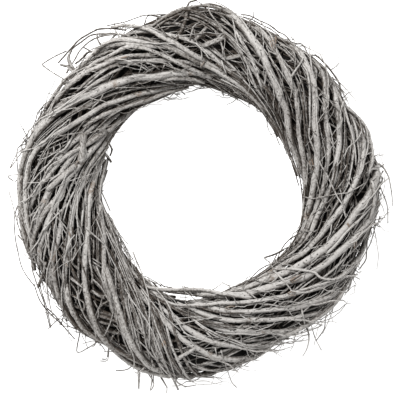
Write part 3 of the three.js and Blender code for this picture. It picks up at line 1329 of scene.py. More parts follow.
    def reaching_line(self, line: CadBranch, twig: ReachingTwig) -> Array:
        """A reaching twig's centre line: a parabola from its branch, bowed outwards, to its tip.

        Args:
            line: the branch.
            twig: where it goes.

        Returns:
            One by steps by 3.
        """
        share = np.linspace(0, 1, 24)[:, None]
        start = np.array([line.share_at(twig.leaves)])
        root = line.point(start, line.depth(start))
        bow = ROLL.point(line.ring(start), np.array([twig.leaves]), np.array([-12.0]))
        tip = np.array(twig.tip)
        return ((1 - share) ** 2 * root + 2 * share * (1 - share) * bow + share**2 * tip)[None]


class RodLayer(NamedTuple):
    """A layer of rods: the depth of its middle, how many, and their diameters."""

    depth: float
    number: int
    least: float
    greatest: float


class Rim(NamedTuple):
    """Rods that line an edge of the roll from below: between which angles round it, and how many."""

    low: float
    high: float
    number: int


@dataclass
class BrushwoodBunches:
    """The brushwood under the wound branches: six bunches whose rods run the other way.

    The rods lie in layers, from the outside in, and in rims along the roll's edges, and twist
    round the roll by some degrees for each degree of the ring. They are dark and take the shaded
    bark, as painted shade deep in the roll. A nearly black core lies under them, as painted shade
    of the deep gaps, at its depth on top and some way inside the roll's edges. The gap is in
    degrees of the ring.
    """

    shaded: Material
    dark: Material
    count: int = 6
    gap: float = 0.3
    twist: float = 1.5
    layers: tuple[RodLayer, ...] = (
        RodLayer(11.0, 20, 1.4, 2.8),
        RodLayer(13.5, 18, 2.0, 4.0),
        RodLayer(16.5, 20, 2.2, 4.4),
        RodLayer(19.5, 14, 2.6, 4.6),
    )
    rims: tuple[Rim, ...] = (Rim(-78.0, 4.0, 13), Rim(184.0, 250.0, 8))
    sides: int = 7
    relief: float = 0.06
    core_depth: float = 20.5
    core_edge: float = 13.5
    rng: Generator = field(default_factory=lambda: np.random.default_rng(22))

    def rod_layer(self, start: float, length: float, layer: RodLayer) -> Rods:
        """One layer of rods of a bunch, spread evenly round the roll with small shifts.

        Args:
            start: ring angle where the bunch starts.
            length: degrees of the ring that it takes.
            layer: its depth, number and diameters.

        Returns:
            The rods.
        """
        number = layer.number
        each = RodDraws(self.rng, number)
        share = np.linspace(0, 1, 26)
        along = lerp(each(-0.03, 0.06), each(0.94, 1.03), share)
        twist = self.twist * each(0.4, 1.8)
        base = (np.arange(number)[:, None] + each(-0.4, 0.4)) * 360 / number
        pace = each(4, 9)
        wave = each(2, 10) * np.sin(pace * share + each(0, 6))
        around = base + twist * length * (along - 0.5) + wave
        weave = each(0.2, 1.0) * np.sin(9 * share + each(0, 6))
        thick = each(layer.least, layer.greatest)
        radii = thick / 2 * lerp(1.0, each(0.5, 0.9), share) * end_share(share)
        depth = layer.depth + each(-1.5, 3.5) + weave
        # Deep rods take dark shades, as painted shade in the roll.
        return self.laid(start + along * length, around, depth, radii, (DARKEST, 0.4))

    def rim_rods(self, start: float, length: float, rim: Rim) -> Rods:
        """Rods along the ring that line an edge from below, so that no light comes through it.

        Args:
            start: ring angle where the bunch starts.
            length: degrees of the ring that it takes.
            rim: where they lie, and how many.

        Returns:
            The rods.
        """
        each = RodDraws(self.rng, rim.number)
        share = np.linspace(0, 1, 24)
        base = np.linspace(rim.low, rim.high, rim.number)[:, None] + each(-3, 3)
        around = base + each(-14, 14) * (share - 0.5) + 3 * np.sin(8 * share + each(0, 6))
        radii = each(1.3, 2.3) * lerp(1.0, each(0.6, 0.9), share) * end_share(share)
        depth = each(2.5, 7.5) + each(0.2, 0.9) * np.sin(9 * share + each(0, 6))
        at = start + length * lerp(each(-0.03, 0.03), each(0.97, 1.03), share)
        # Rim rods under the edges take dark shades, as painted shade.
        return self.laid(at, around, depth, radii, (-1.0, 0.2))

    def laid(self, at: Array, around: Array, depth: Array, radii: Array, shade: Span) -> Rods:
        """Lays rods in the roll, deeper in its hollow.

        Args:
            at: angles round the ring, rods by steps, as the next three.
            around: angles round the roll.
            depth: under its outside.
            radii: of the rods.
            shade: least and greatest lightness.

        Returns:
            The rods.
        """
        centres = ROLL.point(at, around, depth + HOLLOW.depth(at, around))
        relief = bark_relief(self.rng, centres, self.sides, self.relief)
        return Rods(centres, radii, self.sides, self.rng.uniform(*shade, len(at)), relief=relief)

    def core(self, start: float, length: float) -> Rods:
        """The middle of a bunch, nearly black as painted shade, closed at both ends: an ellipse
        carried along the ring.

        Args:
            start: ring angle where the bunch starts.
            length: degrees of the ring that it takes.

        Returns:
            A batch of one rod.
        """
        steps, sides = 16, 28
        at = start + np.linspace(-0.04, 1.04, steps) * length
        inner, outer = ROLL.edges(at)
        middle = (inner + outer) / 2 + 2
        ring = np.radians(at)
        height = np.full(steps, ROLL.middle_height)
        centres = np.stack([middle * np.cos(ring), middle * np.sin(ring), height], axis=-1)[None]
        turned = 2 * np.pi * np.arange(sides) / sides
        wide = (outer - inner) / 2 - self.core_edge
        high = np.full(steps, ROLL.height / 2 - self.core_depth)
        ellipse = np.hypot(wide[:, None] * np.sin(turned), high[:, None] * np.cos(turned))
        relief = (ellipse / wide[:, None] - 1)[None] + self.rng.uniform(-0.05, 0.05, (1, steps, sides))
        upright = np.broadcast_to(np.array([0.0, 0.0, 1.0]), centres.shape)
        return Rods(centres, wide[None], sides, np.array([DARKEST]), facing=upright, relief=relief)

    def build(self) -> None:
        """Makes one piece of rods and one core for each bunch."""
        span = 360 / self.count
        for index in range(self.count):
            start, length = index * span + self.gap / 2, span - self.gap
            name = f"brushwood_bunch_{index + 1}"
            rods = Surface()
            for layer in self.layers:
                rods.add(self.rod_layer(start, length, layer))
            for rim in self.rims:
                rods.add(self.rim_rods(start, length, rim))
            dress(rods.piece("rods_" + name, self.shaded), Slot.SHADED, name)
            core = Surface()
            core.add(self.core(start, length))
            dress(core.piece("core_" + name, self.dark), Slot.SHADED)


@dataclass(frozen=True)
class StrandRule:
    """How a batch of wound strands is drawn, each with values from the spans.

    Attributes:
        number: of strands.
        thick: diameter at the root.
        depth: of the outer side.
        turns: degrees that a strand runs round the roll.
        stray: how far the lay strays from the usual one.
        steps: points of a strand.
        sides: of its section.
        shade: how light it is.
        sunk: how much deeper the strands lie on top of the roll.
        kink: size of their sideways steps.
        starts: angle round the roll where a strand starts.
    """

    number: int
    thick: Span
    depth: Span
    turns: Span
    stray: float
    steps: int
    sides: int
    shade: Span
    sunk: float
    kink: float
    starts: Span = (-75, 260)


@dataclass
class WoundBrushwood(WashedWood):
    """Thinner branches and fine twigs wound between and over the thick ones, and along both edges.

    Each kind makes as many pieces as there are sectors. Only a share of the strands lies over the
    thick branches in the bare stretch of the ring and the roll. Each has some knots, whose length
    is a share of its own.
    """

    seed: int = 23
    branches: StrandRule = StrandRule(
        72, (2.6, 5.4), (1.5, 7.0), (80, 190), 0.12, 46, 8, (-0.7, 0.7), 4.5, 0.35
    )
    rods: StrandRule = StrandRule(
        96, (1.6, 3.0), (0.5, 8.0), (60, 170), 0.2, 40, 6, (-1.5, 1.0), 3.5, 0.35
    )
    fine: StrandRule = StrandRule(
        210, (1.0, 1.8), (-0.4, 7.0), (30, 120), 0.42, 28, 5, (-0.5, 1.3), 1.5, 0.45
    )
    outer_edge: StrandRule = StrandRule(
        195, (1.8, 4.6), (0.6, 10.0), (25, 80), 0.7, 34, 7, (-1.2, 1.15), 0.0, 0.4, (-60, 10)
    )
    inner_edge: StrandRule = StrandRule(
        84, (1.6, 3.6), (2.5, 9.0), (25, 80), 0.3, 34, 6, (-1.4, 0.9), 0.0, 0.4, (135, 200)
    )
    sectors: int = 3
    bare: Span = (190.0, 335.0)
    bare_around: Span = (15.0, 110.0)
    left_in_bare: float = 0.35
    knots_each: int = 4
    knot: float = 0.012
    knot_swell: float = 0.14

    def strands(self, rule: StrandRule) -> Rods:
        """Strands wound in about the usual lay, spread evenly over the roll.

        Args:
            rule: how they are drawn.

        Returns:
            The rods.
        """
        draw = self.rng.uniform
        number, steps = rule.number // self.sectors, rule.steps
        each = RodDraws(self.rng, number)
        share = np.linspace(0, 1, steps)
        start = each(*rule.starts)
        lines = WoundLines(
            at=(np.arange(number)[:, None] + each(-1, 1)) * 360 / number,
            lay=self.rng.normal(1.0, rule.stray, (number, 1)),
            start=start,
            end=start + each(*rule.turns),
            crossing=start,
            waver=each(0.2, 1.4),
            phase=each(0, 360),
        )
        around = lines.around(share)
        ring = lines.ring(around)
        thick = lerp(*rule.thick, each(0, 1) ** 1.7)
        radii = thick / 2 * lerp(1.0, each(0.3, 0.85), share) * end_share(share)
        phase = each(0, 6)
        weave = each(0.3, 1.4) * np.sin(each(4, 10) * share + phase)
        top = np.maximum(np.sin(np.radians(around)), 0)
        depth = each(*rule.depth) + weave + radii + rule.sunk * top
        depth = np.maximum(depth, radii + 0.4)
        bare = within(ring % 360, self.bare) & within(around, self.bare_around)
        kept = (bare.mean(axis=1) < 0.3) | (draw(0, 1, number) < self.left_in_bare)
        centres = ROLL.point(ring, around, depth + HOLLOW.depth(ring, around))
        centres = kinked(self.rng, centres, steps // 5, rule.kink)
        relief = bark_relief(self.rng, centres, rule.sides, self.relief)
        places = draw(0.05, 0.95, (number, self.knots_each))
        radii = radii * (1 + self.knot_swell * knots(share, places, self.knot))
        shade = draw(*rule.shade, number)
        return Rods(centres[kept], radii[kept], rule.sides, shade[kept], relief=relief[kept])

    def build(self) -> None:
        """Makes the pieces, each of a third of the strands."""
        rules = {
            "wound_branches": self.branches,
            "wound_rods": self.rods,
            "fine_twigs": self.fine,
            "outer_edge_rods": self.outer_edge,
            "inner_edge_rods": self.inner_edge,
        }
        for name, rule in rules.items():
            for index in range(self.sectors):
                self.write(f"{name}_{index + 1}", [self.strands(rule)])


@dataclass
class SteepFan(WashedWood):
    """A sheaf of thin rods at the lower left that crosses the roll more steeply than the rest,
    with their outer ends in a span of ring angles and a share of the usual lay."""

    seed: int = 26
    number: int = 24
    outer_ends: Span = (248.0, 270.0)
    lay: Span = (0.33, 0.54)
    thick: Span = (1.4, 3.8)

    def build(self) -> None:
        """Makes the piece."""
        number, sides = self.number, 8
        each = RodDraws(self.rng, number)
        share = np.linspace(0, 1, 40)
        start = each(-25, 15)
        lines = WoundLines(
            at=np.linspace(*self.outer_ends, number)[:, None] + each(-1.5, 1.5),
            lay=each(*self.lay),
            start=start,
            end=each(110, 185),
            crossing=0.0,
            waver=each(0.1, 0.5),
            phase=each(0, 360),
        )
        around = lines.around(share)
        radii = each(*self.thick) / 2 * lerp(1.0, 0.6, share) * end_share(share)
        depth = each(-0.5, 7.0) + radii + 0.8 * np.sin(6 * share + each(0, 6))
        centres = ROLL.point(lines.ring(around), around, depth)
        centres = kinked(self.rng, centres, 8, 0.5)
        relief = bark_relief(self.rng, centres, sides, self.relief)
        shade = self.rng.uniform(-1.9, 0.8, number)
        self.write("steep_fan", [Rods(centres, radii, sides, shade, relief=relief)])


@dataclass
class OuterStrays(WashedWood):
    """Long thin twigs that leave the outer edge in arcs near some ring angles, the sectors, sweep
    along the ring by some degrees and reach some way from the roll."""

    seed: int = 27
    number: int = 80
    sweep: Span = (4.0, 20.0)
    reach: Span = (3.0, 15.0)
    sectors: tuple[float, ...] = (60, 150, 175, 195, 215, 232, 250, 268, 285, 300, 316, 350)

    def build(self) -> None:
        """Makes the piece: the distance from the roll grows as the share to the power 1.4."""
        number = self.number
        each = RodDraws(self.rng, number)
        share = np.linspace(0, 1, 22)
        sense = self.rng.choice([-1.0, 1.0], (number, 1), p=[0.35, 0.65])
        start = self.rng.choice(self.sectors, number)[:, None] + each(-9, 9)
        at = start + sense * each(*self.sweep) * share
        around = each(-35, 45) + each(-25, 10) * share
        centres = ROLL.point(at, around, lerp(4.0, -each(*self.reach), share**1.4))
        centres = kinked(self.rng, centres, 6, 0.03 * lengthwise(centres)[:, -1])
        radii = each(0.7, 1.2) / 2 * lerp(1.0, 0.7, share)
        inside = within_reach(centres)
        shade = self.rng.uniform(-0.6, 0.9, number)
        self.write("outer_strays", [Rods(centres[inside], radii[inside], 4, shade[inside])])


@dataclass
class LooseTwigs(WashedWood):
    """Hair-fine twigs that stick out all over the wreath, shared out among a few pieces."""

    seed: int = 24
    number: int = 600
    sectors: int = 3

    def fluff(self, number: int) -> Rods:
        """Fine kinked twigs, rooted in the outer layer, that follow the lay and lift off.

        Args:
            number: of twigs.

        Returns:
            The rods.
        """
        draw = self.rng.uniform
        at, around = draw(0, 360, number), draw(-70, 250, number)
        roots = ROLL.point(at, around, draw(1, 6, number))
        turn = 0.01
        gain = ROLL.lay_gain(around + turn) - ROLL.lay_gain(around)
        ahead = unit(ROLL.point(at - gain, around + turn, 0.0) - ROLL.point(at, around, 0.0))
        out = ROLL.way_out(roots)
        side = np.cross(ahead, out)
        each = RodDraws(self.rng, number)
        sense = self.rng.choice([-1.0, 1.0], number)[:, None]
        return Twigs(
            roots,
            directions=unit(ahead * sense + side * each(-1, 1) + out * each(0.05, 0.6)),
            lengths=draw(12, 42, number),
            diameters=draw(0.9, 1.6, number),
            bend=draw(0.0, 0.4, number),
            pull=unit(side * each(-1, 1) - out * 0.6),
            kink=0.035,
            steps=11,
            sides=4,
        ).rods(self.rng, draw(-0.7, 1.0, number))

    def build(self) -> None:
        """Makes the pieces."""
        for index in range(self.sectors):
            self.write(f"loose_twigs_{index + 1}", [self.fluff(self.number // self.sectors)])


# Twigs that give the wreath its own look, drawn one by one on a sketch of it from straight above,
# in squares of 1.1 mm with x to the right and y down. Each row is a diameter, then x and y of the
# points along the twig, from its root. These lie on top of all the others.
LYING_ON_TOP = (
    (2, 74, 134, 65.5, 147.5, 57, 154, 49.5, 163, 43, 170, 37.5, 175.5, 27, 189.5, 21.5, 198.5),
    (1.5, 85.5, 147.5, 86, 154, 84.5, 160), (2.2, 62.5, 172, 54.5, 177, 49.5, 182),
    (2, 67.5, 204, 56, 215.5, 45.5, 227.5, 37.5, 237.5),
    (2, 86.5, 228.5, 94, 235.5, 102.5, 242.5, 110, 250.5), (1.8, 221.5, 60.5, 224.5, 69, 227, 74),
    (2.2, 262.5, 97, 256, 86.5, 251, 75, 246.5, 62.5, 240.5, 49.5, 236, 37, 234, 27.5, 231, 12.5),
    (4, 259, 72.5, 256.5, 69.5, 252, 60.5, 246.5, 49.5, 241, 40.5, 234, 28.5),
    (3, 262.5, 88, 256.5, 71.5), (2.5, 291, 78, 294, 72, 301, 62, 304, 55),
    (2.4, 301, 62, 305, 68.5, 308, 76, 309.5, 87.5, 309.5, 109.5, 310, 119, 309, 135, 313.5, 148,
     319.5, 161, 326.5, 173.5, 334.5, 190.5, 339, 199.5, 342.5, 205.5, 346, 218),
    (3, 326, 254, 331.5, 249, 339, 241, 345, 233.5, 351, 227, 359, 219.5, 368, 210.5, 375.5, 201.5),
    (3, 275, 269, 292, 269, 303.5, 270, 314, 272.5, 320, 277, 333.5, 279.5, 343, 277.5, 357.5, 275),
    (2.3, 274, 270.5, 283.5, 280.5, 293, 292), (2, 335.5, 280, 317.5, 285, 307, 288.5, 298.5, 291),
    (1.8, 301.5, 308.5, 302.5, 314, 304, 320, 304, 329),
    (2.2, 190, 317, 201.5, 325.5, 215.5, 333.5, 231, 339, 247.5, 345, 266.5, 345.5),
    (1.6, 192, 319.5, 203, 328.5, 217, 336.5, 232, 342, 248, 347.5, 264, 349),
    (2, 145, 278.5, 157, 290, 165.5, 301, 176.5, 320, 181.5, 328.5, 189.5, 337),
    (2.2, 141, 290, 148.5, 303, 149.5, 318.5, 149.5, 334.5, 149.5, 349.5),
    (1.4, 174.5, 324.5, 183, 323, 192, 321.5, 209, 318, 220, 315.5),
    (1.8, 92.5, 279, 100, 286, 107, 297.5, 113, 309.5, 111.5, 319, 107.5, 330, 100, 345.5),
    (1.8, 190, 40, 191.5, 32.5, 194, 26, 200, 22.5),
    (5.2, 205, 61.5, 176.5, 44.5, 164, 38.5, 153, 32, 139.5, 27.5, 125.5, 25.5, 111.5, 27.5),
)

# Thin pale ones, that lie over the darker stretches.
PALE_TWIGS = (
    (1.5, 133, 252, 141, 272, 148, 294, 149.5, 312, 147, 329),
    (1.6, 124, 288, 133, 301, 142, 314, 152, 330, 161, 352, 170, 376),
    (1.7, 154, 320, 162, 341, 170, 361, 176, 381), (1.4, 96, 219, 104, 240, 112, 266),
    (1.3, 108, 213, 120, 238, 130, 260), (1.3, 115, 228, 127, 250, 133, 271),
    (1.3, 104, 225, 119, 251, 129, 270), (1.2, 111, 218, 118, 232, 128, 244),
    (1.5, 140, 286, 150, 300, 162, 314, 181, 331), (1.3, 118, 262, 126, 282, 131, 300, 140, 322),
    (1.3, 128, 276, 136, 292, 141, 306), (1.3, 100, 201, 112, 226, 122, 247, 131, 262),
    (1.3, 103, 208, 113, 233, 121, 256, 131, 279, 138, 296),
    (1.2, 97, 212, 110, 236, 122, 262, 131, 284),
    (1.4, 106, 232, 118, 258, 127, 280, 137, 301, 144, 320),
    (1.2, 101, 238, 113, 262, 124, 285, 133, 306), (1.2, 113, 240, 124, 262, 136, 283),
    (1.5, 228, 77, 245, 91, 260, 107, 271, 125, 280, 145),
    (1.4, 221, 79, 240, 89, 256, 102, 268, 119), (1.3, 250, 80, 262, 96, 273, 113, 283, 134),
    (1.6, 240, 76, 254, 92, 268, 111, 280, 134, 287, 155),
    (1.3, 262, 104, 274, 122, 284, 143, 290, 160),
)

# Dark twigs with hardly any wash on them, laid in part as painted shade where the roll shows
# dark gaps between the pale branches.
DARK_TWIGS = (
    (2.6, 232, 76, 246, 88, 260, 101, 272, 117),
    (2.2, 228, 80, 243, 93, 257, 106, 268, 121, 278, 137),
    (2.4, 258, 80, 268, 92, 277, 108, 284, 122), (2, 264, 84, 273, 98, 281, 114),
    (2.2, 268, 118, 277, 132, 286, 148, 293, 163), (2, 262, 104, 272, 119, 281, 136, 289, 152),
    (1.8, 240, 80, 252, 92, 264, 107, 274, 124), (2.2, 136, 268, 146, 288, 156, 308, 163, 330),
    (2, 128, 282, 138, 300, 148, 320, 156, 342), (2.4, 146, 292, 157, 312, 166, 334, 172, 356),
    (2, 118, 256, 127, 274, 136, 294, 144, 314), (2, 110, 250, 120, 270, 130, 290, 138, 310),
    (2.2, 152, 322, 160, 338, 168, 352), (2, 146, 318, 154, 336, 162, 352, 168, 368),
    (2.2, 150, 296, 168, 306, 188, 316, 210, 323, 236, 326),
    (2, 160, 300, 178, 309, 198, 316, 222, 319), (2.2, 186, 303, 204, 309, 224, 313, 246, 313),
    (2, 176, 318, 192, 326, 212, 333, 236, 337), (1.8, 196, 321, 214, 326, 236, 329),
    (2.4, 222, 68, 236, 77, 250, 88, 263, 101), (2.4, 216, 64, 230, 74, 244, 84, 256, 95),
    (2.2, 343, 150, 341, 168, 337, 186, 331, 204), (2, 348, 152, 347, 170, 343, 188, 337, 206),
    (2, 337, 160, 334, 178, 329, 196), (2.4, 303, 92, 304, 112, 305, 132, 305, 150),
    (2, 306, 100, 307, 120, 308, 140), (2, 62, 232, 66, 250, 72, 268, 81, 286),
    (2.2, 52, 214, 54, 232, 58, 250, 65, 268), (2, 72, 226, 76, 246, 82, 266, 90, 284),
)

# Branches along the inner and outer edge of the roll.
LYING_ALONG_EDGE = (
    (4.4, 196, 60, 212, 68, 228, 77.5, 243, 88, 256, 100.5, 268, 115),
    (4.2, 84, 127, 100, 116.5, 115, 110.5, 130, 105, 145, 100.5, 157, 96, 170, 91.5, 188, 88),
    (3.2, 104, 119, 118, 110.5, 133, 104, 150, 98), (4.2, 162, 80, 176, 78.5, 190, 79, 204, 82),
    (4.6, 158, 46, 140, 42, 120, 39.5, 104, 45, 91, 56.5, 80, 68, 66, 79, 55, 93, 46, 108),
    (4, 140, 50, 128, 47, 109, 56.5, 95, 63, 81, 74, 68, 85, 58, 96, 48, 112),
    (5, 136, 56, 120, 58.5, 104, 65, 90, 71, 76, 80, 64, 91, 53, 105),
    (3.6, 160, 21, 170, 14, 180, 9.5, 192, 7.5, 204, 6, 216, 8, 228, 12.5, 240, 18),
    (2.4, 184, 12, 194, 7, 206, 4, 217, 5, 226, 9.5, 234, 13),
    (7, 58, 112, 47, 122, 37.5, 133, 29.5, 146, 24, 160, 20.5, 178, 20.5, 202, 23, 226, 28, 246, 34,
     262), (5.4, 44, 142, 34, 154, 28.5, 168, 26, 186, 26.5, 206, 30, 232, 36, 254),
    (5.2, 53, 262, 55, 280, 59.5, 298, 66.5, 314, 76, 326.5, 88, 335),
    (5.6, 66, 282, 70, 303, 77.5, 319.5, 87, 331, 101, 340.5, 112, 347),
    (6.6, 86, 288, 90.5, 309, 98, 329.5, 110, 345.5, 124, 358, 139, 367, 154, 373, 170, 376),
    (6.2, 104, 266, 108, 276, 113, 290, 120, 313, 128, 335, 138, 353, 149, 366, 161, 371),
    (4.4, 344, 106, 352, 112, 361, 121, 368, 133, 371.5, 148, 372, 162, 367, 176),
    (4.2, 371, 180, 374, 192, 373, 206, 368, 222),
    (4.6, 346, 285, 335, 303, 318, 318, 298, 329, 280, 338),
    (4.6, 252, 298, 236, 296, 220, 293, 205, 290.5, 190, 289.5, 168, 290, 155, 289, 142, 285.5),
)

# Twigs between the wound branches.
LYING_AMONG = (
    (1.2, 338, 178, 345, 168, 350, 158), (1.2, 342, 160, 349, 174, 354, 186),
    (1.1, 336, 190, 344, 180, 351, 170), (1.1, 346, 178, 353, 190),
    (1.1, 333, 170, 340, 162, 347, 150),
    (2.2, 230, 87, 246, 95, 262, 107, 277, 126, 288, 150, 297, 176),
    (1.8, 212, 79, 238, 90, 262, 107, 280, 131, 292, 158),
    (1.8, 268, 116, 282, 138, 291, 160, 299, 186), (3.6, 120, 64, 104, 70, 90, 79, 77, 91),
    (3.2, 122, 68, 108, 75, 94, 84, 82, 95), (2.4, 113, 65, 98, 75, 85, 87),
    (3.8, 109, 76, 95, 84, 82, 94, 69, 107),
    (4, 110, 345, 122, 353, 132, 359, 142, 364, 154, 368.5),
    (1.8, 113, 299, 106, 302, 100, 307, 98, 312, 98.5, 316, 94, 321),
    (2.2, 112, 303, 113.5, 311, 110, 324, 104, 337),
    (1.8, 82, 300, 85, 306, 83, 312, 88, 319, 94, 323.5), (2, 75, 255, 70.5, 265),
    (4.2, 240, 303, 222, 303.5, 204, 305, 184, 305.5, 170, 303, 156, 296),
    (6, 58, 196, 48, 208, 40, 222, 33.5, 240, 32.5, 256, 35, 270),
    (3.4, 22, 176, 20, 190, 21, 204, 25, 222, 29, 236),
    (3, 24, 196, 26, 214, 30, 234, 33, 252, 38, 266), (3, 106, 160, 103, 174, 100, 188, 99.5, 204),
    (2.4, 108, 158, 105.5, 170, 102, 182, 100.5, 196),
    (1.5, 65.5, 136.5, 58.5, 140.5, 48.5, 146, 42, 154, 37.5, 161.5),
    (1.5, 58.5, 151, 56, 157.5, 54, 163.5), (1.3, 59.5, 143, 60.5, 147.5, 58, 154.5),
    (1.2, 54, 146, 54, 154), (2, 49, 150, 46.5, 156.5, 44.5, 165.5),
    (6, 105.5, 131, 86.5, 144, 77.5, 149.5, 63, 159, 42, 184.5),
    (2.6, 108, 147, 96.5, 162, 89, 173, 84.5, 189.5),
    (2, 77, 186, 68.5, 202.5, 65.5, 211.5, 63, 222.5), (1.8, 52, 211, 57, 217, 65, 227, 69.5, 233),
    (2.2, 76.5, 182, 77.5, 198.5, 77, 214.5, 79, 234, 82, 245.5),
    (2, 85.5, 188, 86, 205.5, 87, 221, 86.5, 228.5),
    (2.2, 88, 234, 89, 246.5, 90.5, 259.5, 91, 269.5), (2, 77.5, 242, 74, 259.5),
    (1.8, 46.5, 230, 48.5, 240, 49.5, 253, 51, 259.5),
    (1.8, 51, 226, 48.5, 237, 45, 249.5, 43, 259.5), (1.5, 98.5, 185.5, 104, 197, 110, 211),
    (4.5, 205, 66, 170, 48.5, 157.5, 43.5, 144.5, 38.5, 127.5, 37.5),
    (1.3, 173.5, 58.5, 165.5, 53, 156, 46, 147, 42),
    (4.6, 205, 75, 183, 65, 164, 56, 148.5, 49.5, 135.5, 47, 130, 46),
    (4.8, 154, 55.5, 141.5, 55.5, 127.5, 56, 113, 59.5, 100, 62),
    (1.5, 173.5, 67.5, 162.5, 63, 142, 61, 130.5, 61),
    (1.4, 142, 55.5, 142, 62, 141, 67.5, 138.5, 74.5), (1.8, 143.5, 62, 153, 65, 160, 69.5),
    (1.5, 165, 64, 162, 69), (2, 127, 64, 138.5, 65.5, 149.5, 71),
    (1.5, 135.5, 80.5, 141, 84, 148.5, 90, 152.5, 95.5),
    (1.8, 226, 60.5, 224, 52, 221, 42.5, 217.5, 37, 215, 30.5), (2, 217.5, 37, 221.5, 34.5),
    (1.5, 242.5, 39.5, 249.5, 43.5, 256, 47), (1.5, 253.5, 59, 259, 65, 265.5, 69.5),
    (1.5, 266, 69.5, 265.5, 78.5, 262.5, 90.5), (1.3, 228.5, 59, 235.5, 61, 245, 63),
    (1.5, 266.5, 46, 268.5, 51, 274, 53.5, 280, 57.5),
    (2, 268.5, 52, 272.5, 62.5, 278, 72.5, 284, 87.5, 288.5, 106.5),
    (2, 231, 71.5, 237.5, 75, 245, 81, 251.5, 87.5), (1.5, 221, 88.5, 223.5, 96),
    (1.5, 234, 92.5, 239.5, 93.5, 250, 105),
    (1.5, 280, 45.5, 285.5, 46.5, 291, 49, 294.5, 53.5, 295.5, 60.5, 294.5, 68.5),
    (1.3, 287.5, 62, 292, 60, 294.5, 57.5),
    (1.3, 288.5, 65.5, 294.5, 72.5, 302.5, 77, 311, 83, 319, 88.5, 326.5, 97.5, 340.5, 106.5),
    (1.8, 301.5, 79.5, 299, 87.5, 297, 94, 298, 106.5), (1.8, 322, 95, 331, 102.5, 340, 113),
    (1.8, 322.5, 97.5, 327, 110.5), (1.8, 324.5, 121, 325.5, 130, 331, 141.5, 337, 151),
    (1.5, 324, 100, 327, 109.5), (1.6, 362, 130, 357, 139.5, 347.5, 148.5, 343.5, 161),
    (2, 351, 125.5, 354, 141.5, 352, 164, 350.5, 173.5, 347.5, 185, 340.5, 199),
    (1.8, 358, 143.5, 359, 157.5, 358, 179.5), (2, 331, 103, 341, 113),
    (1.9, 307, 160.5, 315.5, 174, 318, 186, 321.5, 195.5, 325, 207, 328.5, 212),
    (1.5, 303, 196.5, 312.5, 198.5, 322, 197, 338.5, 194, 347.5, 193, 357, 188, 365.5, 182.5),
    (2.4, 290.5, 155.5, 300, 178), (2, 349.5, 227, 354.5, 237.5),
    (1.8, 260, 304, 273, 305, 285.5, 307, 294.5, 307), (1.5, 205.5, 331.5, 215.5, 341),
    (1.5, 215, 347, 217, 356.5), (4.7, 114, 290, 116.5, 306, 121.5, 324, 128.5, 341, 138.5, 354),
    (3, 121, 290, 125.5, 303, 132, 328.5, 135.5, 341),
    (2.5, 134.5, 298.5, 141, 318.5, 143.5, 329.5, 147, 347.5, 151, 360),
    (2.5, 137.5, 298.5, 148, 318.5), (2, 151, 311, 155, 320.5, 157.5, 334.5, 160.5, 347.5),
    (1.5, 100, 305.5, 112, 299.5), (2, 47.5, 240, 45, 253, 44, 264, 52, 277),
    (1.5, 59, 254.5, 64, 259), (1.7, 70.5, 240, 71.5, 253, 72, 263.5, 81, 272),
    (2, 77.5, 243, 74.5, 253, 72.5, 261), (2.5, 89, 240, 89.5, 259, 92.5, 275.5, 91, 284.5),
    (1.5, 93.5, 240, 93.5, 256), (1.5, 92.5, 258.5, 102.5, 265), (1.5, 93, 262, 103, 268.5),
    (2, 96, 265.5, 101, 278.5, 106.5, 291, 111, 299.5), (3, 92.5, 291, 105.5, 299.5),
    (1.5, 107.5, 301, 101, 305, 98, 308), (1.5, 94, 301, 98.5, 310, 97, 318.5),
    (1.5, 72, 295.5, 81.5, 300.5, 84, 304, 83.5, 313.5, 89.5, 321), (4, 99.5, 315.5, 119.5, 322.5),
    (3, 70.5, 277.5, 78.5, 284.5, 83.5, 288.5),
)

# Twigs deep in the gaps.
LYING_DEEP = (
    (2.4, 281, 294, 293, 284, 306, 273), (2.2, 288, 296, 300, 286, 313, 275),
    (2.6, 276, 289, 288, 280, 300, 271), (2, 295, 294, 307, 284, 319, 275),
    (2.4, 218, 353, 234, 347, 248, 340), (2.2, 226, 357, 240, 350, 253, 344),
    (2.2, 212, 347, 226, 343, 240, 337), (2.2, 318, 262, 328, 252, 338, 240),
    (2, 324, 266, 335, 254, 344, 243), (2.8, 198, 310, 220, 317, 244, 321),
    (2.6, 196, 316, 218, 323, 240, 327), (2.8, 202, 304, 226, 310, 250, 313),
    (2.4, 206, 322, 226, 327, 246, 330), (2.8, 238, 322, 258, 321.5, 278, 318),
    (2.4, 243, 326.5, 262, 326, 282, 322), (2.8, 244, 341.5, 262, 339, 280, 335),
    (2.2, 249, 345, 272, 341), (2.4, 203, 363, 222, 365.5, 238, 362), (2.6, 201, 369, 222, 371.5),
    (2.8, 222, 314, 240, 316, 256, 314.5), (2.8, 214, 21, 228, 30, 242, 44),
    (2.4, 221, 19, 236, 30, 248, 43), (2.6, 216, 33, 232, 40, 248, 51),
    (2.6, 275, 45, 288, 54, 300, 68), (3, 279, 43, 296, 53), (2.4, 273, 51, 284, 62, 293, 78),
    (3, 70, 261, 82, 273), (3.6, 70, 277, 84, 288), (2.2, 71, 283, 80, 297),
    (2.2, 69, 293, 84, 302), (3.6, 91, 291, 103, 297, 114, 301), (2.5, 92, 279, 103, 291),
    (2.8, 92, 264, 102, 280, 110, 296, 113, 305), (5.4, 98, 311, 110, 315, 121, 320),
    (3.6, 98, 321, 110, 324, 122, 327), (3.6, 108, 331, 125, 334), (2.8, 101, 303, 112, 307),
    (2.6, 74, 306, 92, 311), (2, 58, 254, 65, 259), (2.4, 57, 268, 64, 278),
    (2.2, 60, 246, 68, 252), (2.6, 106, 270, 117, 286), (2.4, 118, 284, 128, 302),
    (2, 81, 131, 79.5, 139.5, 77.5, 145), (3, 88.5, 129.5, 89.5, 136), (5, 275.5, 37.5, 292, 44.5),
    (2, 190, 352, 209, 356, 228, 360), (2.5, 192, 366, 210, 370, 226, 368), (2, 196, 376, 214, 378),
)

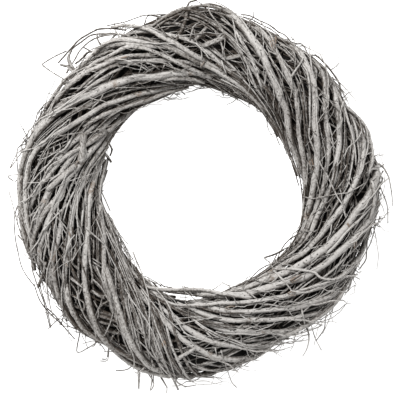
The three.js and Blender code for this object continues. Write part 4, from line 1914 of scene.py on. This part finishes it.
# Ends that reach past the roll.
LOOSE_ENDS = (
    (1.3, 299, 233, 288, 241, 281, 250, 276, 262), (1.3, 292, 245, 277, 253, 264, 258),
    (1.1, 264, 258, 270, 263, 275, 271), (1.1, 278, 261, 262, 268, 252, 277, 242, 288),
    (0.9, 300, 231, 316, 231), (1, 297, 237, 290, 246, 286, 256),
    (3.2, 46, 262, 44.5, 270, 41, 279, 38, 287), (1, 38, 286, 44, 303, 50, 328),
    (1, 48, 329, 57, 320, 63, 314), (1.4, 63, 314, 65, 307, 65, 299),
    (0.9, 47, 308, 57, 318, 66, 330), (0.9, 80, 332, 77, 352, 88, 348, 100, 340),
    (0.9, 109, 344, 107, 358, 102, 359), (0.9, 138, 368, 138, 388),
    (0.9, 150, 368, 152, 380, 150, 391), (1, 157, 368, 162, 378, 167, 387, 167, 393),
    (2.9, 78, 74, 72.5, 68.5, 69.5, 62, 68.5, 56, 71, 50.5), (2.9, 82, 77, 75, 71.5, 68, 69),
    (2.3, 76, 71, 69, 66, 65.5, 66.5, 60, 64.5), (2.4, 370, 170, 375, 168, 380, 172, 378.5, 178),
    (2, 372, 180, 378, 176, 382.5, 178, 381, 184), (1.6, 374, 166, 380, 167, 384, 164),
    (0.8, 48, 93, 56.5, 97),
    (1, 72, 84, 59.5, 91.5, 40.5, 109, 34, 125.5, 31.5, 134.5, 18.5, 147.5),
    (1.2, 30, 142, 24.5, 148, 17.5, 152.5, 11.5, 164, 10, 168.5, 16, 160, 26, 146),
    (1.2, 27, 143, 17, 150.5, 17.5, 180, 8, 176, 18.5, 174), (1.5, 21.5, 198.5, 29, 211.5),
    (1.5, 17, 192, 21.5, 204, 24.5, 214.5, 28.5, 223),
    (1.5, 19, 190, 22, 205.5, 26.5, 227.5, 30.5, 245.5, 32.5, 269.5, 38, 288),
    (0.8, 23, 192, 19.5, 202, 15, 214.5, 14.5, 230.5, 17, 249.5, 23, 269.5, 34, 286),
    (1.5, 17.5, 234.5, 27, 245.5, 31, 249, 39.5, 258, 44, 263, 47, 269.5),
    (1.5, 66.5, 51, 55.5, 56, 44, 63.5, 43, 65.5, 52.5, 72.5, 63, 78.5, 70, 84),
    (2, 126, 30, 113, 28.6, 100, 29, 94, 31, 80, 39, 71, 48, 66, 54, 58, 63),
    (1.8, 118, 33.5, 104, 33.5, 97, 34, 90, 35.6, 83, 40.4, 75.5, 46, 70.5, 52, 67.5, 58, 70, 66,
     78, 71), (1.7, 122, 34, 110, 34.8, 98, 37.4, 89, 42, 84, 46.5, 79, 52.5, 75.5, 58.5, 72, 64),
    (2.9, 79, 74.5, 75, 70, 72, 66, 69.5, 61, 68.5, 54), (2.6, 76, 76, 71, 69.5, 67, 66, 62, 65),
    (1.8, 66.5, 73.5, 68.5, 69.5, 72, 65.5),
    (1.8, 97, 51, 91, 51.5, 87, 52.5, 84, 56, 81, 59.5, 76, 63),
    (1.6, 91, 52.5, 88.5, 50, 82.5, 47), (2, 101, 45, 98, 40, 96.5, 33.5),
    (1.8, 115, 35, 112, 38, 109, 41), (1.5, 75, 64, 84, 57, 88, 52.5, 97, 52),
    (1.2, 83, 47, 90, 51.5), (2.2, 130, 36, 116, 34, 109, 33.5, 99, 35),
    (1.4, 108, 42, 112, 38, 116, 35), (1.8, 118, 40, 119, 37.5, 118, 35),
    (0.9, 106.5, 26, 123.5, 22.5, 144.5, 16, 167.5, 14.5),
    (1, 144, 25.5, 146.5, 18.5, 149, 15.5, 155, 16.5, 160, 18, 175.5, 20.5),
    (3.2, 149.5, 28.5, 161, 20, 170, 15.5, 180.5, 11, 182.5, 7),
    (2.6, 152, 31, 163, 22.5, 172, 18, 181, 14), (1.3, 172, 23.5, 176.5, 20, 184, 11.5, 192, 5),
    (1.5, 179, 22.5, 183.5, 20.5, 189.5, 20.5), (0.8, 179.5, 89.5, 185, 95),
    (0.8, 175.5, 94, 180.5, 94), (1.5, 241, 14.5, 250, 16, 259.5, 20.5, 269.5, 25, 280, 33),
    (1.2, 243, 17, 252, 19, 261, 24, 271, 29, 279, 36),
    (1.5, 294.5, 43.5, 301, 43.5, 305, 48.5, 308, 55.5), (1.5, 277.5, 31.5, 285.5, 35.5, 294, 44),
    (2.2, 300, 50, 308.5, 55, 317, 56, 326.5, 65.5, 333, 73.5, 339.5, 83, 341, 94),
    (0.9, 331.5, 69.5, 340, 63), (2, 371, 190, 378, 182.5, 381, 175, 384, 171),
    (1.6, 378, 182.5, 378, 177), (1.5, 364, 218, 362, 231), (0.7, 290, 238.5, 298.5, 235.5),
    (1.2, 378, 180, 382, 191, 387.5, 207, 388, 223.5),
    (1.2, 380, 216, 377.5, 224, 375, 226, 371, 242.5, 364.5, 254, 359.5, 262.5, 350, 274),
    (1.5, 368.5, 235.5, 367, 244, 366, 259, 360, 268), (1, 374, 220, 378.5, 219.5, 385.5, 217),
    (1, 370, 221, 376, 224.5, 380.5, 227), (1, 284, 250, 275, 254.5, 265, 258.5),
    (1, 277, 254, 272, 263.5, 267, 270), (1.2, 308, 318, 311.5, 326, 315, 338, 321, 350),
    (1, 327, 312, 325, 320, 324, 329.5, 316, 341), (1, 270, 332, 276, 338, 284, 345.5),
    (1.2, 184, 291, 190, 295.5, 195.5, 299.5), (1.1, 136, 274, 155, 283, 174, 288.5),
    (1, 258, 350, 253, 358, 244, 366), (1, 254, 352, 248.5, 357.5, 236, 367),
    (1, 221, 350, 224.5, 361, 231, 380.5, 237, 387.5), (1.5, 138, 358, 139.5, 369.5, 139, 390),
    (1.5, 143, 360, 146, 369.5, 153.5, 383, 151.5, 390), (1.5, 152, 360, 153.5, 369.5, 153.5, 383),
    (1.5, 152, 362, 159.5, 375, 167.5, 388), (2.4, 166, 365, 171.5, 376, 178.5, 390),
    (1, 113, 335, 109, 346, 107.5, 360, 100, 361), (1.1, 137, 360, 128, 369, 115.5, 370.5),
    (1, 46, 266, 40, 283.5, 47.5, 310, 51, 328), (1.2, 36, 272, 41.5, 279.5, 54, 290.5),
    (1, 34, 284, 40, 301, 50, 313.5, 61, 323.5, 75, 339.5),
    (1.2, 66, 306, 63.5, 314.5, 61.5, 323.5), (0.8, 107.5, 170, 101.5, 188),
    (1.8, 107, 141, 111, 146, 112.5, 150, 110, 156), (2.6, 104, 153, 108, 157, 111.5, 162),
)

# Shreds of bark, rubbed brown.
BARK_SHREDS = (
    (2.2, 272, 38, 273.5, 43, 276, 48.5), (1.6, 275.5, 37, 276, 44),
    (1.5, 270.5, 41, 272, 46, 274, 50), (1.5, 309.5, 161, 311, 166, 313.5, 170.5),
    (1.4, 311.5, 159, 313, 164, 314.5, 168), (2, 290, 281, 295, 278, 301, 274.5),
    (1.4, 292, 282.5, 297, 279.5, 302, 277), (2, 288, 293.5, 292, 291.5, 296, 292.5),
    (1.4, 289, 296, 293, 295, 295.5, 296), (1.8, 226, 308, 230, 306.5, 235, 306.5),
    (1.3, 225, 310, 230, 309.5), (2, 354, 242, 355, 249), (1.4, 356.5, 240, 356.5, 246),
    (1.9, 347.5, 223.5, 350.5, 228), (2, 164, 341, 166.5, 346.5), (1.3, 162, 343, 163.5, 347),
    (1.5, 76, 163, 79.5, 161, 82.5, 163.5), (2, 118, 58.5, 124, 57.5, 129, 56.5),
    (1.3, 121, 60.5, 126, 60), (1.8, 69, 232, 70.5, 238), (1.6, 66, 264, 68.5, 266.5),
    (1.6, 204, 62, 201, 66),
)

# Sawn ends of thick pieces, that look out between the others: the last point is the cut.
SAWN_PIECES = (
    (7, 84, 134, 82.5, 146, 80.5, 163), (5.7, 48, 189.5, 62, 177, 75.5, 165),
    (3.2, 194, 41.5, 200, 35, 206, 28), (5, 203.5, 46, 213, 42, 224.5, 38),
    (4, 227, 58.5, 240.5, 55.5), (2.5, 200.5, 67.5, 205.5, 60.5), (4, 194.5, 348.5, 176.5, 359.5),
)


@dataclass(frozen=True)
class Sketch:
    """The squared sheet that twigs are drawn on, as seen by an eye straight over it.

    Attributes:
        square: millimetres to a square.
        middle: the ring's middle on the sheet.
        seen_over: the place that the eye is over.
        eye: its height over the table.
        plain: the height at which a square shows at its own size.
    """

    square: float = 1.1
    middle: Place = (201.0, 192.0)
    seen_over: Place = (-1.1, -8.8)
    eye: float = 2545.0
    plain: float = 45.0

    def size_at(self, height: Array) -> Array:
        """A square's size at heights, as a share of its own: it shrinks towards the eye."""
        return (self.eye - height) / (self.eye - self.plain)

    def place(self, drawn: Array, lift: Array) -> Array:
        """Puts drawn points on the wreath: at the roll's height, and drawn in to suit that height.

        Args:
            drawn: points on the sheet, by 2.
            lift: of each point from the top of the roll.

        Returns:
            The points, by 3.
        """
        flat = (drawn - self.middle) * (self.square, -self.square)
        height = ROLL.over(flat[:, 0], flat[:, 1], lift)[:, 2]
        flat = self.seen_over + (flat - self.seen_over) * self.size_at(height)[:, None]
        return ROLL.over(flat[:, 0], flat[:, 1], lift)


SKETCH = Sketch()


def through(points: Array, steps: int) -> Array:
    """A smooth curve through points.

    Between two points it is the cubic that has, at each of them, half the step from the one
    before it to the one after it as its slope.

    Args:
        points: to pass through.
        steps: how many to give.

    Returns:
        Points evenly spread over the stretches.
    """
    slopes = np.gradient(points, axis=0)
    place = np.linspace(0, len(points) - 1, steps)
    low = np.minimum(place.astype(int), len(points) - 2)
    share = (place - low)[:, None]
    square, cube = share**2, share**3
    return (
        (2 * cube - 3 * square + 1) * points[low]
        + (cube - 2 * square + share) * slopes[low]
        + (3 * square - 2 * cube) * points[low + 1]
        + (cube - square) * slopes[low + 1]
    )


@dataclass(frozen=True)
class DrawnGroup:
    """Drawn twigs that lie alike.

    Attributes:
        name: of the piece.
        rows: the twigs.
        lift: of their middles from the top of the roll.
        rooting: how much deeper the ends lie.
        shade: least and greatest lightness.
        thinning: share of the diameter that is left at the tip.
        sawn: whether the ends are cut off and show brown wood.
        least: diameter, in squares.
        rubbed: whether all the wash is rubbed off.
    """

    name: str
    rows: tuple[tuple[float, ...], ...]
    lift: float
    rooting: float
    shade: Span
    thinning: float = 0.6
    sawn: bool = False
    least: float = 1.2
    rubbed: bool = False


DRAWN_GROUPS = (
    DrawnGroup("twigs_on_top", LYING_ON_TOP, -0.5, 4.0, (0.45, 1.0)),
    DrawnGroup("pale_twigs", PALE_TWIGS, -0.2, 3.0, (0.7, 1.4)),
    DrawnGroup("dark_twigs", DARK_TWIGS, -2.0, 3.0, (-2.2, -1.4)),
    DrawnGroup("edge_branches", LYING_ALONG_EDGE, -1.5, 9.0, (0.35, 0.9), 0.85),
    DrawnGroup("twigs_among", LYING_AMONG, -2.5, 4.0, (-0.5, 0.7)),
    DrawnGroup("twigs_deep", LYING_DEEP, -9.0, 1.0, (-0.5, 0.2)),
    DrawnGroup("loose_ends", LOOSE_ENDS, -4.0, 0.0, (-0.7, 0.5), 0.85),
    DrawnGroup("sawn_pieces", SAWN_PIECES, -2.0, 2.0, (-0.1, 0.5), 1.0, True),
    DrawnGroup("bark_shreds", BARK_SHREDS, 1.0, 1.5, (-0.6, 0.6), 0.6, rubbed=True),
)


@dataclass
class DrawnTwigs(WashedWood):
    """The twigs drawn one by one, with a section at each step.

    Each has buds of a length and a swell, one to some length of twig, and some twigs are worn at
    them. A sawn piece's wash gives way to wood over a span of its length, the cut, and it flares.
    """

    seed: int = 25
    step: float = 3.5
    bud_every: float = 16.0
    bud: float = 1.5
    bud_swell: float = 0.2
    worn_twigs: float = 0.3
    cut: Span = (0.82, 0.98)
    flare: float = 1.12

    def rods(self, row: tuple[float, ...], group: DrawnGroup) -> Rods:
        """One drawn twig, with small kinks and swollen buds.

        Args:
            row: its diameter and points.
            group: how it lies.

        Returns:
            A batch of one rod.
        """
        drawn = np.array(row[1:]).reshape(-1, 2)
        length = np.linalg.norm(np.diff(drawn, axis=0), axis=1).sum() * SKETCH.square
        steps = int(np.clip(length / self.step, 6, 60))
        share = np.linspace(0, 1, steps)
        lift = group.lift - group.rooting * np.abs(2 * share - 1) ** 6
        centres = SKETCH.place(through(drawn, steps), lift)[None]
        centres[..., 2] += self.rng.uniform(-1, 1) * np.sin(np.pi * share)
        thick = max(row[0], group.least) * SKETCH.square
        radii = thick / 2 * lerp(1.0, group.thinning, share)
        buds = self.rng.uniform(0.1, 0.95, (1, max(2, int(length / self.bud_every))))
        swollen = knots(share, buds, self.bud / length)
        sides = 6 if row[0] < 3 else 10
        bent = kinked(self.rng, centres, max(2, steps // 3), 0.25)
        worn = swollen * 0.5 * (self.rng.random() < self.worn_twigs) + float(group.rubbed)
        if group.sawn:
            worn = worn + smooth_step(share_of(share, self.cut))
            radii[-1] *= self.flare
        return Rods(
            centres if group.sawn else bent,
            radii * (1 + self.bud_swell * swollen),
            sides,
            self.rng.uniform(*group.shade, 1),
            np.clip(worn, 0, 1.7),
            relief=bark_relief(self.rng, centres, sides, self.relief),
        )

    def build(self) -> None:
        """Makes one piece for each group."""
        for group in DRAWN_GROUPS:
            self.write(group.name, (self.rods(row, group) for row in group.rows))


@dataclass
class TieWires:
    """The wires that hold the bunches together, kept as the part has them."""

    count: int = 6

    def build(self, nodes: dict[str, Object]) -> None:
        """Gives the wires their finish.

        Args:
            nodes: the part's objects by name.
        """
        material = WireFinish().material()
        for index in range(self.count):
            wire = nodes[f"tie_wire_{index + 1}"]
            wire.data.materials.clear()
            wire.data.materials.append(material)
            LOG.info("%s: finish", wire.name)


@dataclass
class Studio:
    """A pale floor, soft lights and a camera straight above.

    The aim is the point under the middle of the picture, which is as wide there as given. The
    floor and the key light are in metres and watts.
    """

    aim: Point = (*SKETCH.seen_over, SKETCH.plain)
    width: float = 440.0
    distance: float = SKETCH.eye - SKETCH.plain
    half_floor: float = 4.0
    sky: float = 0.32
    key_size: float = 0.9
    key_power: float = 54.0
    key_place: Point = (-0.7, 1.1, 1.9)

    def build(self) -> None:
        """Makes the floor, the lights and the camera."""
        self.floor()
        self.lights()
        self.camera()

    def floor(self) -> None:
        """A large flat floor at the height that the wreath lies on."""
        half = self.half_floor
        corners = [(-half, -half, 0), (half, -half, 0), (half, half, 0), (-half, half, 0)]
        mesh = bpy.data.meshes.new("floor")
        mesh.from_pydata(corners, [], [(0, 1, 2, 3)])
        mesh.materials.append(FloorFinish().material())
        floor = bpy.data.objects.new("floor", mesh)
        bpy.context.scene.collection.objects.link(floor)

    def lights(self) -> None:
        """A wide key light that looks down at the wreath, and an even sky."""
        scene = bpy.context.scene
        world = bpy.data.worlds.new("sky")
        world.use_nodes = True
        sky = world.node_tree.nodes["Background"]
        sky.inputs[0].default_value = (1.0, 1.0, 1.0, 1.0)
        sky.inputs[1].default_value = self.sky
        scene.world = world
        scene.view_settings.view_transform = "Standard"
        data = bpy.data.lights.new("key", "AREA")
        data.shape = "SQUARE"
        data.size = self.key_size
        data.energy = self.key_power
        key = bpy.data.objects.new("key", data)
        key.location = self.key_place
        key.rotation_mode = "QUATERNION"
        key.rotation_quaternion = key.location.to_track_quat("Z", "Y")
        scene.collection.objects.link(key)

    def camera(self) -> None:
        """A long lens that looks straight down, with +Y up in the picture."""
        data = bpy.data.cameras.new("camera")
        data.lens = data.sensor_width * self.distance / self.width
        data.clip_end = 20.0
        camera = bpy.data.objects.new("camera", data)
        x, y, z = (value * METRES for value in self.aim)
        camera.location = (x, y, z + self.distance * METRES)
        bpy.context.scene.collection.objects.link(camera)
        bpy.context.scene.camera = camera


def main() -> None:
    """Builds the wreath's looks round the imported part."""
    logging.basicConfig(level=logging.INFO, format="%(message)s")
    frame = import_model()
    washed_and_shaded = BarkFinish("whitewashed_bark").material()
    shaded = BarkFinish("shaded_bark", pale=(0.42, 0.4, 0.375, 1.0), pore_share=0.1).material()
    # The core's nearly black bark is painted shade of the deep gaps.
    dark = BarkFinish(
        "core_painted_shade",
        pale=(0.03, 0.028, 0.025, 1.0),
        middling=(0.015, 0.014, 0.012, 1.0),
        bare=(0.008, 0.007, 0.006, 1.0),
        pore_share=0.0,
    ).material()
    WoundBranches(washed_and_shaded=washed_and_shaded).build()
    BrushwoodBunches(shaded=shaded, dark=dark).build()
    WoundBrushwood(washed_and_shaded=washed_and_shaded).build()
    SteepFan(washed_and_shaded=washed_and_shaded).build()
    OuterStrays(washed_and_shaded=washed_and_shaded).build()
    LooseTwigs(washed_and_shaded=washed_and_shaded).build()
    DrawnTwigs(washed_and_shaded=washed_and_shaded).build()
    TieWires().build(frame["nodes"])
    Studio().build()


if __name__ == "__main__":
    main()
